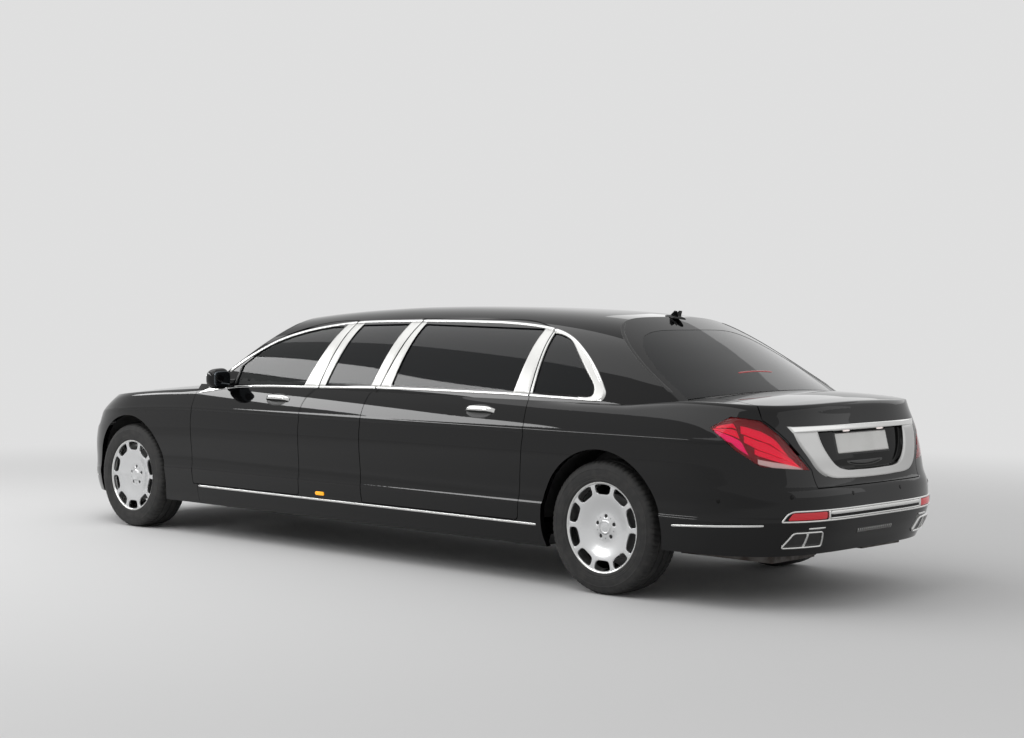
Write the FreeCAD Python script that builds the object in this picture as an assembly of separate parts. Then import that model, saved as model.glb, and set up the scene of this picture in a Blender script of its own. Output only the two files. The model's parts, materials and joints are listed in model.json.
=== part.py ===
"""Stretched four-door limousine with a fixed centre section, built as separate body panels, glass, seats,
running gear and wheels.  Millimetres; +X forward, +Y to the car's left, +Z up; the origin lies on the floor
under the middle of the car's length and width."""
import FreeCAD, Part
import math
import os

Vector = FreeCAD.Vector

# Overall sizes
LENGTH = 6499.0
BODY_WIDTH = 1899.0
HEIGHT = 1598.0
WHEELBASE = 4418.0
FRONT_OVERHANG = 885.0
TRACK = 1600.0

NOSE_X = LENGTH / 2
TAIL_X = -LENGTH / 2
FRONT_AXLE = NOSE_X - FRONT_OVERHANG
REAR_AXLE = FRONT_AXLE - WHEELBASE

# Wheels
TYRE_R = 371.0
TYRE_WIDTH = 245.0
RIM_R = 257.0
RIM_WIDTH = 222.0
RIM_OPENINGS = 10
LUGS = 5
LUG_CIRCLE_R = 56.0
ARCH_R = 434.0
STEER_LOCK = 33.0

# Panels
SKIN = 34.0
ROOF_SHELL = 50.0
DOOR_THICK = 132.0
GAP = 5.0
SHUT_FLARE = 12.0
SEAT_GAP = 0.3
SILL_TOP = 363.0
SILL_BOTTOM = 228.0
WAIST = 1052.0
BUMPER_JOIN = 640.0

# Side-view stations
FRONT_DOOR_FRONT = 1622.0
FRONT_DOOR_REAR = 492.0
REAR_DOOR_FRONT = -108.0
REAR_DOOR_REAR = -1488.0
HINGE_IN = 92.0
HINGE_Y = 885.0

# Lids
BONNET_HINGE = 1640.0
BONNET_FRONT = 3085.0
BONNET_HALF = 705.0
SCUTTLE = 30.0
LID_FRONT = -2640.0
LID_HALF_FRONT = 640.0
LID_HALF_REAR = 735.0

# Glass
GLASS = 5.0
GLASS_INSET = 8.0

# Smaller sizes
SILL_IN = 700.0
QUARTER_STEP = -2150.0
LAMP_GAP = 0.3
NOSE_GAP = 3.0
HEADLAMP_REAR = 2830.0
GLASS_FOOT = 2.0
ROOF_HALF = 520.0
FRAME_IN = 560.0
FRAME_LAP = 8.0
TIP_GAP = 8.0
BAR = 18.0
INTAKE_HALF = 520.0
REAR_LIP = 290.0
JACK_R = 38.0
JACK_Z = 214.0
JACK_Y = 800.0
JACK_XS = (-1350.0, 1350.0)

# Hinges: door leaves with their posts, and the pins of bonnet and boot lid
HINGE_LEVELS = (520.0, 840.0)
LEAF_HEIGHT = 68.0
LEAF_HALF = 14.0
PIN_R = 9.0
POST_IN = 700.0
POST_OUT = 764.0
POST_TOP = 1000.0
LID_PIN_R = 6.0
LID_AXIS_X = -2660.0
LID_AXIS_Z = 1087.0
BONNET_AXIS_X = 1660.0
BONNET_AXIS_Z = 1021.0

# Floor and running gear
FLOOR_Z = 232.0
FLOOR_TOP = 262.0
FLOOR_SHEET = 20.0
REAR_FLOOR = 430.0
FLOOR_REAR_X = -1500.0
BOOT_REAR_X = -3120.0
TUNNEL_HALF = 110.0
TUNNEL_TOP = 430.0
FIREWALL_X = 1500.0
FIREWALL = 30.0
RAIL_Y = 430.0
RAIL_WIDTH = 34.0
RAIL_FRONT = 3000.0
TOWER_TOP = 860.0
KINGPIN_Y = 760.0
STUB_R = 42.0
BRAKE_R = 178.0
PIPE_R = 30.0
SILENCER_Y = (240.0, 640.0)

# Cabin
PARTITION_X = 60.0
PARTITION = 40.0
SEAT_Y = 370.0
REAR_SEAT_Y = 345.0
STEERING_X = 1080.0
STEERING_Z = 900.0
STEERING_TILT = 24.0
STEERING_R = 180.0
STEERING_NECK = 60.0

# Small parts on the doors and the roof
HANDLE_FRONTS = {"front": 848.0, "rear": -1004.0}
HANDLE_LENGTH = 222.0
HANDLE_Z = 982.0
AERIAL_X = -1855.0


def smooth(table, x):
    """Value at x of a smooth curve through the (x, value) pairs of a table, without overshoot."""
    if x <= table[0][0]:
        return table[0][1]
    if x >= table[-1][0]:
        return table[-1][1]
    count = len(table)
    steps = [table[i + 1][0] - table[i][0] for i in range(count - 1)]
    slopes = [(table[i + 1][1] - table[i][1]) / steps[i] for i in range(count - 1)]
    tangents = [slopes[0]] + [0.0] * (count - 2) + [slopes[-1]]
    for i in range(1, count - 1):
        if slopes[i - 1] * slopes[i] > 0:
            ahead = 2 * steps[i] + steps[i - 1]
            behind = steps[i] + 2 * steps[i - 1]
            tangents[i] = (ahead + behind) / (ahead / slopes[i - 1] + behind / slopes[i])
    for i in range(count - 1):
        if x <= table[i + 1][0]:
            s = (x - table[i][0]) / steps[i]
            return ((1 + 2 * s) * (1 - s) ** 2 * table[i][1] + s * (1 - s) ** 2 * steps[i] * tangents[i]
                    + s * s * (3 - 2 * s) * table[i + 1][1] + s * s * (s - 1) * steps[i] * tangents[i + 1])


# Body lines, each a curve through a few stations taken as offsets from the driving sizes above.
HALF_WIDTH = BODY_WIDTH / 2
SIDE_LINE = [(150, HALF_WIDTH - 71), (225, HALF_WIDTH - 49), (300, HALF_WIDTH - 28), (380, HALF_WIDTH - 17),
             (440, HALF_WIDTH - 11), (468, HALF_WIDTH - 9), (490, HALF_WIDTH - 16), (540, HALF_WIDTH - 17),
             (620, HALF_WIDTH - 10), (700, HALF_WIDTH - 3), (770, HALF_WIDTH), (830, HALF_WIDTH - 3),
             (868, HALF_WIDTH - 8), (886, HALF_WIDTH - 6), (905, HALF_WIDTH - 13), (940, HALF_WIDTH - 27),
             (1000, HALF_WIDTH - 56), (1052, HALF_WIDTH - 88), (1085, HALF_WIDTH - 110),
             (1130, HALF_WIDTH - 149), (1180, HALF_WIDTH - 209)]
TAIL_LINE = [(150, 140), (250, 100), (330, 60), (420, 18), (500, 0), (580, 4), (625, 14), (660, 36),
             (720, 54), (800, 70), (880, 90), (960, 108), (1020, 122), (1077, 128), (1180, 190)]
NOSE_LINE = [(150, 130), (220, 60), (320, 15), (450, 0), (560, 4), (640, 25), (720, 60), (800, 120),
             (860, 190), (920, 290), (1000, 450), (1180, 850)]
DECK_LINE = [(-3400, 1040), (-3122, 1077), (-3000, 1097), (-2800, 1116), (-2600, 1122), (-2300, 1103),
             (-2150, 1091), (0, 1085), (1500, 1066), (1900, 1045), (2200, 1024), (2500, 998), (2800, 958), (3000, 912),
             (3120, 868), (3250, 800), (3400, 700)]
ROOF_LINE = [(-3000, 398), (-2600, 253), (-2300, 158), (-2100, 108), (-1900, 71), (-1600, 38), (-1250, 17),
             (-900, 5), (-450, 0), (-100, 3), (330, 19), (690, 42), (1000, 72), (1300, 114), (1700, 188),
             (2200, 298)]
CABIN_LINE = [(950, 886), (1000, 875), (1052, 860), (1080, 851), (1200, 803), (1350, 737), (1490, 675), (1600, 640)]
SCREEN_LINE = [(950, 1990), (1020, 1900), (1100, 1765), (1200, 1590), (1300, 1410), (1400, 1222),
               (1500, 1030), (1560, 915), (1640, 750)]
BACKLIGHT_LINE = [(1000, -2830), (1100, -2660), (1130, -2607), (1200, -2480), (1300, -2300),
                  (1400, -2115), (1500, -1915), (1560, -1780), (1640, -1600)]
TAIL_START = -2300.0
TAIL_POWER = 3.8
NOSE_START = 2250.0
NOSE_POWER = 3.0
CABIN_POWER = 5.0
CABIN_BASE = 1000.0
CABIN_RISES = (0.0, 0.05, 0.1, 0.18, 0.28, 0.38, 0.48, 0.58, 0.68, 0.77, 0.84, 0.89, 0.93, 0.955)
CABIN_REACHES = (0.66, 0.56, 0.44, 0.32, 0.2, 0.1, 0.0)
ROOF_CROWN = 28.0
RING_LEVELS = [150, 190, 225, 262, 300, 340, 380, 420, 450, 470, 492, 520, 560, 610, 660, 710, 770, 825,
               862, 886, 908, 940, 975, 1010, 1050, 1090, 1135, 1180]
CORNER_STEPS = 15
NOSE_SINK = 105.0
NOSE_SINK_START = 1500.0
NOSE_SINK_LENGTH = 1650.0
DECK_CROWN = 28.0
DECK_CROWN_AT = 700.0
SCREEN_BOW = 262.0
SCREEN_BOW_AT = 750.0
BACKLIGHT_BOW = 115.0
BACKLIGHT_BOW_AT = 620.0
BOW_POWER = 2.2

# Shut faces lean by this much per millimetre of depth, measured from the widest plane of the body
FLARE = math.tan(math.radians(SHUT_FLARE))
FLARE_PLANE = HALF_WIDTH

# Window line: the outline of all side glass with its bright surround
WINDOW_LINE = [(1590, 978), (843, 1474), (-350, 1504), (-1662, 1499), (-2030, 1070), (-1400, 1084),
               (495, 1068)]
WINDOW_RADII = [20, 1700, 18000, 1010, 30, 4000, 6000]
FRAME_RIM = 10.0
DOOR_BAND = WINDOW_LINE[:4] + [(-2030, 1020), (-1400, 1020), (495, 1020)]
BAND_RADII = WINDOW_RADII[:4] + [5, 5, 5]

# Panes in the side windows: corners and their radii
WINDOWS = {
    "front_door": ([(1236, 1058), (1236, 1180), (880, 1448), (384, 1462), (530, 1084), (900, 1066)],
                   [12, 10, 1500, 14, 14, 3000]),
    "centre": ([(329, 1084), (228, 1473), (-226, 1483), (-112, 1098)], [14, 14, 14, 14]),
    "rear_door": ([(-290, 1100), (-356, 1483), (-1374, 1462), (-1330, 1102)], [14, 14, 14, 14]),
    "quarter": ([(-1474, 1100), (-1466, 1442), (-1628, 1404), (-1930, 1130), (-1930, 1094)],
                [14, 14, 60, 40, 14]),
}

# Lamp outlines: the rear one square to the corner, the front one seen from ahead
TAIL_LAMP = [(-1331, 956), (-1438, 1016), (-1589, 997), (-1708, 902), (-1855, 738), (-1579, 762),
             (-1452, 843)]
HEADLAMP = [(432, 662), (640, 648), (790, 668), (905, 745), (905, 790), (760, 792), (600, 768), (432, 722)]

# Nodes that hold more than one solid
EXPECTED = {"fixed_side_glass": 4, "headlamps": 2, "tail_lamps": 2, "arch_liners": 4, "front_seats": 2,
            "rear_cabin_seats": 4}


def shoulder_drop(x):
    """How far the side's character lines sink towards the nose."""
    if x < NOSE_SINK_START:
        return 0.0
    return -NOSE_SINK * min(1.0, (x - NOSE_SINK_START) / NOSE_SINK_LENGTH) ** 1.8


def side_y(x, z):
    """Half width of the lower body."""
    return smooth(SIDE_LINE, z - shoulder_drop(x))


def end_x(z, tail):
    """Distance of the nose or the tail from the middle of the car, on the centreline."""
    if tail:
        return -TAIL_X - smooth(TAIL_LINE, z)
    return NOSE_X - smooth(NOSE_LINE, z)


def corner_point(tail, angle, z, inset):
    """Point of the plan outline round the nose or tail: a superellipse between the side and the centre."""
    power = TAIL_POWER if tail else NOSE_POWER
    start = -TAIL_START if tail else NOSE_START
    along = math.sin(angle) ** (2 / power)
    across = max(math.cos(angle), 0.0) ** (2 / power) if angle < math.pi / 2 else 0.0
    x = start + (end_x(z, tail) - inset - start) * along
    if tail:
        x = -x
    return x, (side_y(x, z) - inset) * across


def deck_z(x, y):
    """Height of the bonnet, waist or boot deck, with its crown across the car."""
    return smooth(DECK_LINE, x) - DECK_CROWN * (y / DECK_CROWN_AT) ** 2


def cabin_half(x, z, inset):
    """Half width of the cabin above the waist."""
    half = smooth(CABIN_LINE, z) - inset
    if x < -1500:
        half -= 75.0 * ((-1500 - x) / 1100.0) ** 2
    if x > 1200:
        half -= 10.0 * ((x - 1200) / 700.0) ** 2
    return half


def cabin_point(x, angle, inset):
    """Point of the cabin's cross-section: flat-sided superellipse from the waist over to the roof's middle."""
    rise = math.sin(angle) ** (2 / CABIN_POWER)
    reach = max(math.cos(angle), 0.0) ** (2 / CABIN_POWER) if angle < math.pi / 2 - 1e-9 else 0.0
    height = HEIGHT - smooth(ROOF_LINE, x) - CABIN_BASE - inset
    y = 700.0 * reach
    z = CABIN_BASE
    for _ in range(8):
        z = CABIN_BASE + (height - ROOF_CROWN * (y / 750.0) ** 2) * rise
        y = cabin_half(x, z, inset) * reach
    return y, z


def screen_x(y, z):
    """Windscreen, curved in plan."""
    return smooth(SCREEN_LINE, z) - SCREEN_BOW * (abs(y) / SCREEN_BOW_AT) ** BOW_POWER


def backlight_x(y, z):
    """Rear window, curved in plan."""
    return smooth(BACKLIGHT_LINE, z) + BACKLIGHT_BOW * (abs(y) / BACKLIGHT_BOW_AT) ** BOW_POWER


def surface(rows):
    """Smooth face through a grid of points."""
    patch = Part.BSplineSurface()
    patch.interpolate(rows)
    return patch.toShape()


def line(a, b):
    return Part.makeLine(Vector(*a), Vector(*b))


def box(x0, x1, y0, y1, z0, z1):
    return Part.makeBox(x1 - x0, y1 - y0, z1 - z0, Vector(x0, y0, z0))


def mirrored(shape):
    return shape.mirror(Vector(0, 0, 0), Vector(0, 1, 0))


def end_block(tail, inset, reach):
    """Whole-width solid of the lower body round the nose or the tail, back to x = reach."""
    sign = -1 if tail else 1
    start = -TAIL_START if tail else NOSE_START
    rows = []
    angles = [i * math.pi / 2 / CORNER_STEPS for i in range(CORNER_STEPS + 1)]
    straight = [reach * sign + (start - reach * sign) * i / 4.0 for i in range(4)]
    for x in straight:
        rows.append([Vector(sign * x, side_y(sign * x, z) - inset, z) for z in RING_LEVELS])
    for angle in angles:
        row = []
        for z in RING_LEVELS:
            x, y = corner_point(tail, angle, z, inset)
            row.append(Vector(x, y, z))
        rows.append(row)
    for row in rows[-2::-1]:
        rows.append([Vector(p.x, -p.y, p.z) for p in row])
    ends = (reach + sign * 6, sign * 3400)
    block = box(min(ends), max(ends), -1100, 1100, RING_LEVELS[0] + 2, RING_LEVELS[-1] - 2)
    return inner_piece(surface(rows), block, Vector(reach + sign * 60, 0, 500))


def side_block(inset, front, rear, depth):
    """Slab of the left body side between two stations, with the outer surface's curve on both faces."""
    rows = []
    count = 12
    for i in range(count + 1):
        x = front + (rear - front) * i / count
        rows.append([Vector(x, side_y(x, z) - inset, z) for z in RING_LEVELS])
    return surface(rows).extrude(Vector(0, -depth, 0))


def above_deck():
    """Everything above the bonnet, waist and boot deck."""
    rows = []
    for i in range(35):
        x = -3400.0 + 200.0 * i
        rows.append([Vector(x, y, deck_z(x, y)) for y in range(-1100, 1101, 220)])
    return surface(rows).extrude(Vector(0, 0, 900))


def under_deck(inset):
    """Everything below a surface that lies inset under the bonnet and boot deck."""
    rows = []
    for i in range(35):
        x = -3400.0 + 200.0 * i
        rows.append([Vector(x, y, deck_z(x, y) - inset) for y in range(-1100, 1101, 220)])
    return surface(rows).extrude(Vector(0, 0, -1200))


def cabin_block(inset):
    """Whole-width cabin, open-ended in shape: not yet trimmed by the windscreen and the rear window."""
    rows = []
    stations = [-2900 + 4900.0 * i / 28 for i in range(29)]
    angles = [math.asin(rise ** (CABIN_POWER / 2)) for rise in CABIN_RISES]
    angles += [math.acos(reach ** (CABIN_POWER / 2)) for reach in CABIN_REACHES]
    for x in stations:
        half = []
        for angle in angles:
            y, z = cabin_point(x, angle, inset)
            half.append(Vector(x, y, z))
        rows.append(half + [Vector(p.x, -p.y, p.z) for p in half[-2::-1]])
    return inner_piece(surface(rows), box(-2890, 1990, -1000, 1000, CABIN_BASE + 4, 1700),
                       Vector(0, 0, CABIN_BASE + 50))


def inner_piece(face, block, point):
    """The piece that holds a point when a face cuts a block in two."""
    pieces = block.generalFuse([face])[0].Solids
    for piece in pieces:
        if piece.isInside(point, 0.01, True):
            return piece
    raise ValueError("no piece holds the point")


def screen_tool(shape_x, offset, thickness):
    """Slab behind (negative) or ahead of (positive) a curved screen surface."""
    rows = []
    for y in range(-1000, 1001, 100):
        rows.append([Vector(shape_x(y, z) + offset, y, z) for z in range(900, 1701, 50)])
    return surface(rows).extrude(Vector(thickness, 0, 0))


def rounded(points, radii):
    """Closed wire in the X-Z plane through the points, its corners rounded by tangent arcs."""
    count = len(points)
    corners = []
    for i in range(count):
        p = Vector(points[i][0], 0, points[i][1])
        a = Vector(points[i - 1][0], 0, points[i - 1][1]) - p
        b = Vector(points[(i + 1) % count][0], 0, points[(i + 1) % count][1]) - p
        room = min(a.Length, b.Length)
        a.normalize()
        b.normalize()
        half = a.getAngle(b) / 2
        radius = radii[i]
        reach = radius / math.tan(half)
        if radius < 1 or reach > 0.98 * room or half > math.pi / 2 - 0.004:
            reach = min(reach, 0.45 * room)
            radius = reach * math.tan(half)
        if radius < 1 or half > math.pi / 2 - 0.004:
            corners.append((p, None, p))
            continue
        middle = (a + b)
        middle.normalize()
        centre = p + middle * (radius / math.sin(half))
        corners.append((p + a * reach, centre - middle * radius, p + b * reach))
    edges = []
    for i in range(count):
        start, mid, end = corners[i]
        if mid is not None:
            edges.append(Part.Arc(start, mid, end).toShape())
        following = corners[(i + 1) % count][0]
        if end.distanceToPoint(following) > 1e-3:
            edges.append(Part.makeLine(end, following))
    return Part.Wire(edges)


def grown(points, by):
    """Corner points of an outline moved outwards by a distance."""
    count = len(points)
    area = sum(points[i][0] * points[(i + 1) % count][1] - points[(i + 1) % count][0] * points[i][1]
               for i in range(count))
    turn = 1 if area > 0 else -1
    moved = []
    for i in range(count):
        p0, p1, p2 = points[i - 1], points[i], points[(i + 1) % count]
        u = (p1[0] - p0[0], p1[1] - p0[1])
        v = (p2[0] - p1[0], p2[1] - p1[1])
        lu, lv = math.hypot(*u), math.hypot(*v)
        nu = (turn * u[1] / lu, -turn * u[0] / lu)
        nv = (turn * v[1] / lv, -turn * v[0] / lv)
        k = 1 + nu[0] * nv[0] + nu[1] * nv[1]
        moved.append((p1[0] + by * (nu[0] + nv[0]) / k, p1[1] + by * (nu[1] + nv[1]) / k))
    return moved


def side_prism(points, radii, flared=True, grow=0.0):
    """Left-hand prism through the body side from a side-view outline; a flared one leans its shut faces
    rearwards towards the outside, so that what is cut by it swings out freely."""
    wire = rounded(grown(points, grow) if grow else points, radii)
    reach = 620.0
    lean = FLARE if flared else 0.0
    face = Part.Face(wire)
    face.translate(Vector(lean * reach, FLARE_PLANE - reach, 0))
    return face.extrude(Vector(-lean * (reach + 120), reach + 120, 0))


def flared_point(x, z):
    """Outline point on the flare plane that puts the shut line at x on the body's own surface at height z."""
    half = side_y(x, z) if z < WAIST else cabin_half(x, z, 0)
    return x + FLARE * (half - FLARE_PLANE), z


def door_zone(front, grow):
    """Side-view outline of a door from sill to above the roof rail, with its rear shut line."""
    if front:
        rear = [(FRONT_DOOR_REAR, SILL_TOP + GAP), (FRONT_DOOR_REAR, 985), (388, 1074), (282, 1530)]
        lead = [(1235, 1530), (FRONT_DOOR_FRONT + 60, 1100), (FRONT_DOOR_FRONT + 60, SILL_TOP + GAP)]
    else:
        rear = [(-1440, SILL_TOP + GAP), (REAR_DOOR_REAR, 871), (-1456, 1045), (-1448, 1530)]
        lead = [(-320, 1530), (-201, 1083), (REAR_DOOR_FRONT + 2, 985), (REAR_DOOR_FRONT + 2, SILL_TOP + GAP)]
    points = [flared_point(x, z) for x, z in rear + lead]
    radii = [25, 160, 160, 5] + [5] + [0] * (len(lead) - 2) + [25]
    return side_prism(points, radii, True, grow)


def nose_radii(front):
    """Radius of the door's rounded front end about its hinge axis, at a few heights."""
    edge = FRONT_DOOR_FRONT if front else REAR_DOOR_FRONT
    table = []
    top = 4 if front else 40
    for z, back in ((SILL_TOP, 22), (410, 8), (560, 0), (711, 0), (862, 0), (966, 0), (WAIST, top)):
        x = edge - back - hinge_x(front)
        y = side_y(edge, z) - HINGE_Y
        table.append((z, math.hypot(x, y)))
    return table


def hinge_x(front):
    return (FRONT_DOOR_FRONT if front else REAR_DOOR_FRONT) - HINGE_IN


def hinge_round(front, grow):
    """Solid of revolution about the hinge axis that the door's front end fits in."""
    table = nose_radii(front)
    low, high = SILL_TOP - 30, WAIST + 80
    points = [Vector(radius + grow, 0, z) for z, radius in table]
    points[0].z = low
    points[-1].z = high
    curve = Part.BSplineCurve()
    curve.interpolate(points)
    edges = [curve.toShape(), line((points[-1].x, 0, high), (0, 0, high)), line((0, 0, high), (0, 0, low)),
             line((0, 0, low), (points[0].x, 0, low))]
    solid = Part.Face(Part.Wire(edges)).revolve(Vector(0, 0, 0), Vector(0, 0, 1), 360)
    solid.translate(Vector(hinge_x(front), HINGE_Y, 0))
    return solid


def door_blank(front, grow):
    """Space of a door below the waist and in the window frame, before its glass is cut; grown by the shut
    gap it is what the body leaves open for it."""
    hinge = hinge_x(front)
    zone = door_zone(front, grow)
    if front:
        zone = zone.common(box(-4000, hinge + 400, 0, 1200, 0, 2000))
    lower = box(-1700, hinge, HALF_WIDTH - 400, 1100, SILL_TOP + GAP - grow, WAIST)
    nose = hinge_round(front, grow).common(
        box(hinge - 1, hinge + 300, HALF_WIDTH - 400, 1100, SILL_TOP + GAP - grow, WAIST))
    lower = lower.common(zone).fuse(nose)
    frame = side_prism([flared_point(x, z) for x, z in DOOR_BAND], BAND_RADII, True, FRAME_RIM + grow)
    frame = frame.common(zone).common(box(-1700, 1700, FRAME_IN - grow, 1100, WAIST - FRAME_LAP, 2000))
    return lower, frame


def hinge_pin(front, z, grow=0.0):
    """Pin of one door hinge, standing out above and below its leaf."""
    return Part.makeCylinder(PIN_R + grow, LEAF_HEIGHT + 44 + 2 * grow,
                             Vector(hinge_x(front), HINGE_Y, z - LEAF_HEIGHT / 2 - 22 - grow))


def hinge_leaf(front, z):
    """Leaf of one door hinge with its pin, reaching out from the post behind the door's front end."""
    x = hinge_x(front)
    low = z - LEAF_HEIGHT / 2
    arm = box(x - LEAF_HALF, x + LEAF_HALF, POST_OUT - 10, HINGE_Y, low, low + LEAF_HEIGHT)
    eye = Part.makeCylinder(LEAF_HALF, LEAF_HEIGHT, Vector(x, HINGE_Y, low))
    return merged([arm, eye, hinge_pin(front, z)])


def hinge_slot(front, z):
    """Room in the door's front end for a hinge leaf, in every position of the door."""
    x = hinge_x(front)
    low = z - LEAF_HEIGHT / 2 - SEAT_GAP
    return box(x - LEAF_HALF - 2, x + 200, 700, HINGE_Y + LEAF_HALF + 2, low, low + LEAF_HEIGHT + 2 * SEAT_GAP)


def window_prism(name, grow=0.0):
    points, radii = WINDOWS[name]
    return side_prism(points, radii, False, grow)


def cylinder_y(x, z, radius, y0, y1):
    return Part.makeCylinder(radius, y1 - y0, Vector(x, y0, z), Vector(0, 1, 0))


def ring_y(profile, x, z):
    """Solid of revolution about a wheel's own axle: profile points are (radius, y)."""
    points = [Vector(x, y, z + radius) for radius, y in profile]
    face = Part.Face(Part.makePolygon(points + [points[0]]))
    return face.revolve(Vector(x, 0, z), Vector(0, 1, 0), 360)


def merged(shapes):
    result = shapes[0]
    if len(shapes) > 1:
        result = shapes[0].fuse(shapes[1:])
    return result.removeSplitter()


def build_body():
    """All fixed and hinged panels; returns node name to shape."""
    nodes = {}
    above = above_deck()
    nose = end_block(False, 0, 1300).cut(above)
    nose_in = end_block(False, SKIN, 1290).common(under_deck(SKIN))
    tail = end_block(True, 0, -1300).cut(above)
    tail_in = end_block(True, SKIN, -1290).common(under_deck(SKIN))
    side = side_block(0, 1700, -1600, 300)
    cabin = cabin_block(0).cut(screen_tool(screen_x, 0, 900)).cut(screen_tool(backlight_x, 0, -900))
    cabin_in = cabin_block(ROOF_SHELL)
    shell = cabin.cut(cabin_in).common(box(-3000, 2000, -1000, 1000, WAIST - FRAME_LAP, 1700))

    # Glass
    glass_floor = under_deck(-GLASS_FOOT)
    nodes["windscreen"] = cabin_block(ROOF_SHELL + SEAT_GAP).common(
        screen_tool(screen_x, -3, -GLASS - 1)).common(box(0, 2500, -1000, 1000, 1010, 1700))
    nodes["windscreen"] = largest(nodes["windscreen"].cut(glass_floor))
    nodes["rear_window"] = cabin_block(ROOF_SHELL + SEAT_GAP).common(
        screen_tool(backlight_x, 3, GLASS)).common(box(-3000, 0, -1000, 1000, 1060, 1700))
    nodes["rear_window"] = largest(nodes["rear_window"].cut(glass_floor))
    pane = cabin_block(GLASS_INSET).cut(cabin_block(GLASS_INSET + GLASS))
    pane = pane.common(box(-2300, 1700, 0, 1000, 1000, 1600))
    fixed = [pane.common(window_prism(name, -SEAT_GAP)) for name in ("centre", "quarter")]
    nodes["fixed_side_glass"] = Part.makeCompound(fixed + [mirrored(glass) for glass in fixed])

    # Roof between the side rails
    rail = ROOF_HALF
    roof = shell.common(box(-2500, 1600, -rail, rail, 1100, 1700))
    nodes["roof"] = roof

    doors = {}
    openings = []
    for front in (True, False):
        name = "front" if front else "rear"
        lower, frame = door_blank(front, 0)
        inner = box(-1700, 1800, -10, side_y(0, 770) - DOOR_THICK, 0, 2000)
        body = side.common(lower).cut(inner)
        foot = WAIST - FRAME_LAP
        near = box(0, 1700, 300, 1100, foot, 1600) if front else box(-1700, 100, 300, 1100, foot, 1600)
        upper = shell.common(near).common(frame)
        door = merged([body, upper]).cut(window_prism(name + "_door"))
        for z in HINGE_LEVELS:
            door = door.cut(hinge_slot(front, z)).cut(hinge_pin(front, z, SEAT_GAP))
        glass = pane.common(window_prism(name + "_door", -SEAT_GAP))
        doors[name] = (door, glass)
        openings.extend(door_blank(front, GAP))

    swing = hinge_round(True, GAP)
    screen_edge = openings[1].fuse([mirrored(openings[1]), swing, mirrored(swing)])
    nodes["windscreen"] = largest(nodes["windscreen"].cut(screen_edge))

    # Fixed body side: sill, centre section, pillars, roof rail and rear quarter
    arch = cylinder_y(REAR_AXLE, TYRE_R, ARCH_R, 300, 1100)
    sill = side.common(box(-1600, 1568, SILL_IN, 1100, SILL_BOTTOM, SILL_TOP))
    centre = side.common(box(-600, 560, HALF_WIDTH - DOOR_THICK, 1100, SILL_TOP, WAIST))
    tail_raw = end_block(True, 0, -1300)
    tail_hollow = end_block(True, SKIN, -1290)
    quarter_front = tail_raw.cut(tail_hollow).common(box(QUARTER_STEP, -1400, 300, 1100, SILL_BOTTOM, WAIST))
    quarter_rear = tail.cut(tail_in).common(box(-3100, QUARTER_STEP, 300, 1100, SILL_BOTTOM, 1200))
    quarter_rear = quarter_rear.cut(lid_prism(GAP)).cut(tail_lamp_prism(LAMP_GAP))
    quarter_rear = quarter_rear.cut(box(-2700, -1300, 0, 640, 1000, 1300))
    quarter = quarter_front.fuse(quarter_rear)
    quarter = quarter.cut(box(-3300, REAR_AXLE - 200, 0, 1100, 0, BUMPER_JOIN)).cut(bumper_join_prism())
    front_low, front_frame, rear_low, rear_frame = openings
    quarter = quarter.cut(rear_low).cut(arch)
    upper = shell.common(box(-3000, 1700, rail, 1100, WAIST, 1700)).cut(front_frame).cut(rear_frame)
    upper = upper.cut(window_prism("centre")).cut(window_prism("quarter"))
    pads = [Part.makeCylinder(JACK_R, SILL_BOTTOM + 6 - JACK_Z, Vector(x, JACK_Y, JACK_Z)) for x in JACK_XS]
    low = merged([sill, centre] + pads).cut(front_low).cut(rear_low)
    side_parts = low.fuse(quarter).fuse(upper).removeSplitter()
    post_x = hinge_x(False)
    post = box(post_x - 60, post_x + 140, POST_IN, POST_OUT, SILL_TOP - 10, POST_TOP)
    post = post.fuse(box(post_x + 116, post_x + 140, POST_IN, 830, SILL_TOP - 10, POST_TOP))
    lid_pin = cylinder_y(LID_AXIS_X, LID_AXIS_Z, LID_PIN_R, LID_HALF_FRONT - 12, LID_HALF_FRONT + 28)
    extras = [post, lid_pin] + [hinge_leaf(False, z) for z in HINGE_LEVELS]
    side_parts = side_parts.fuse(extras).removeSplitter()
    nodes["body_side_left"] = largest(side_parts)
    nodes["body_side_right"] = mirrored(nodes["body_side_left"])

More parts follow.
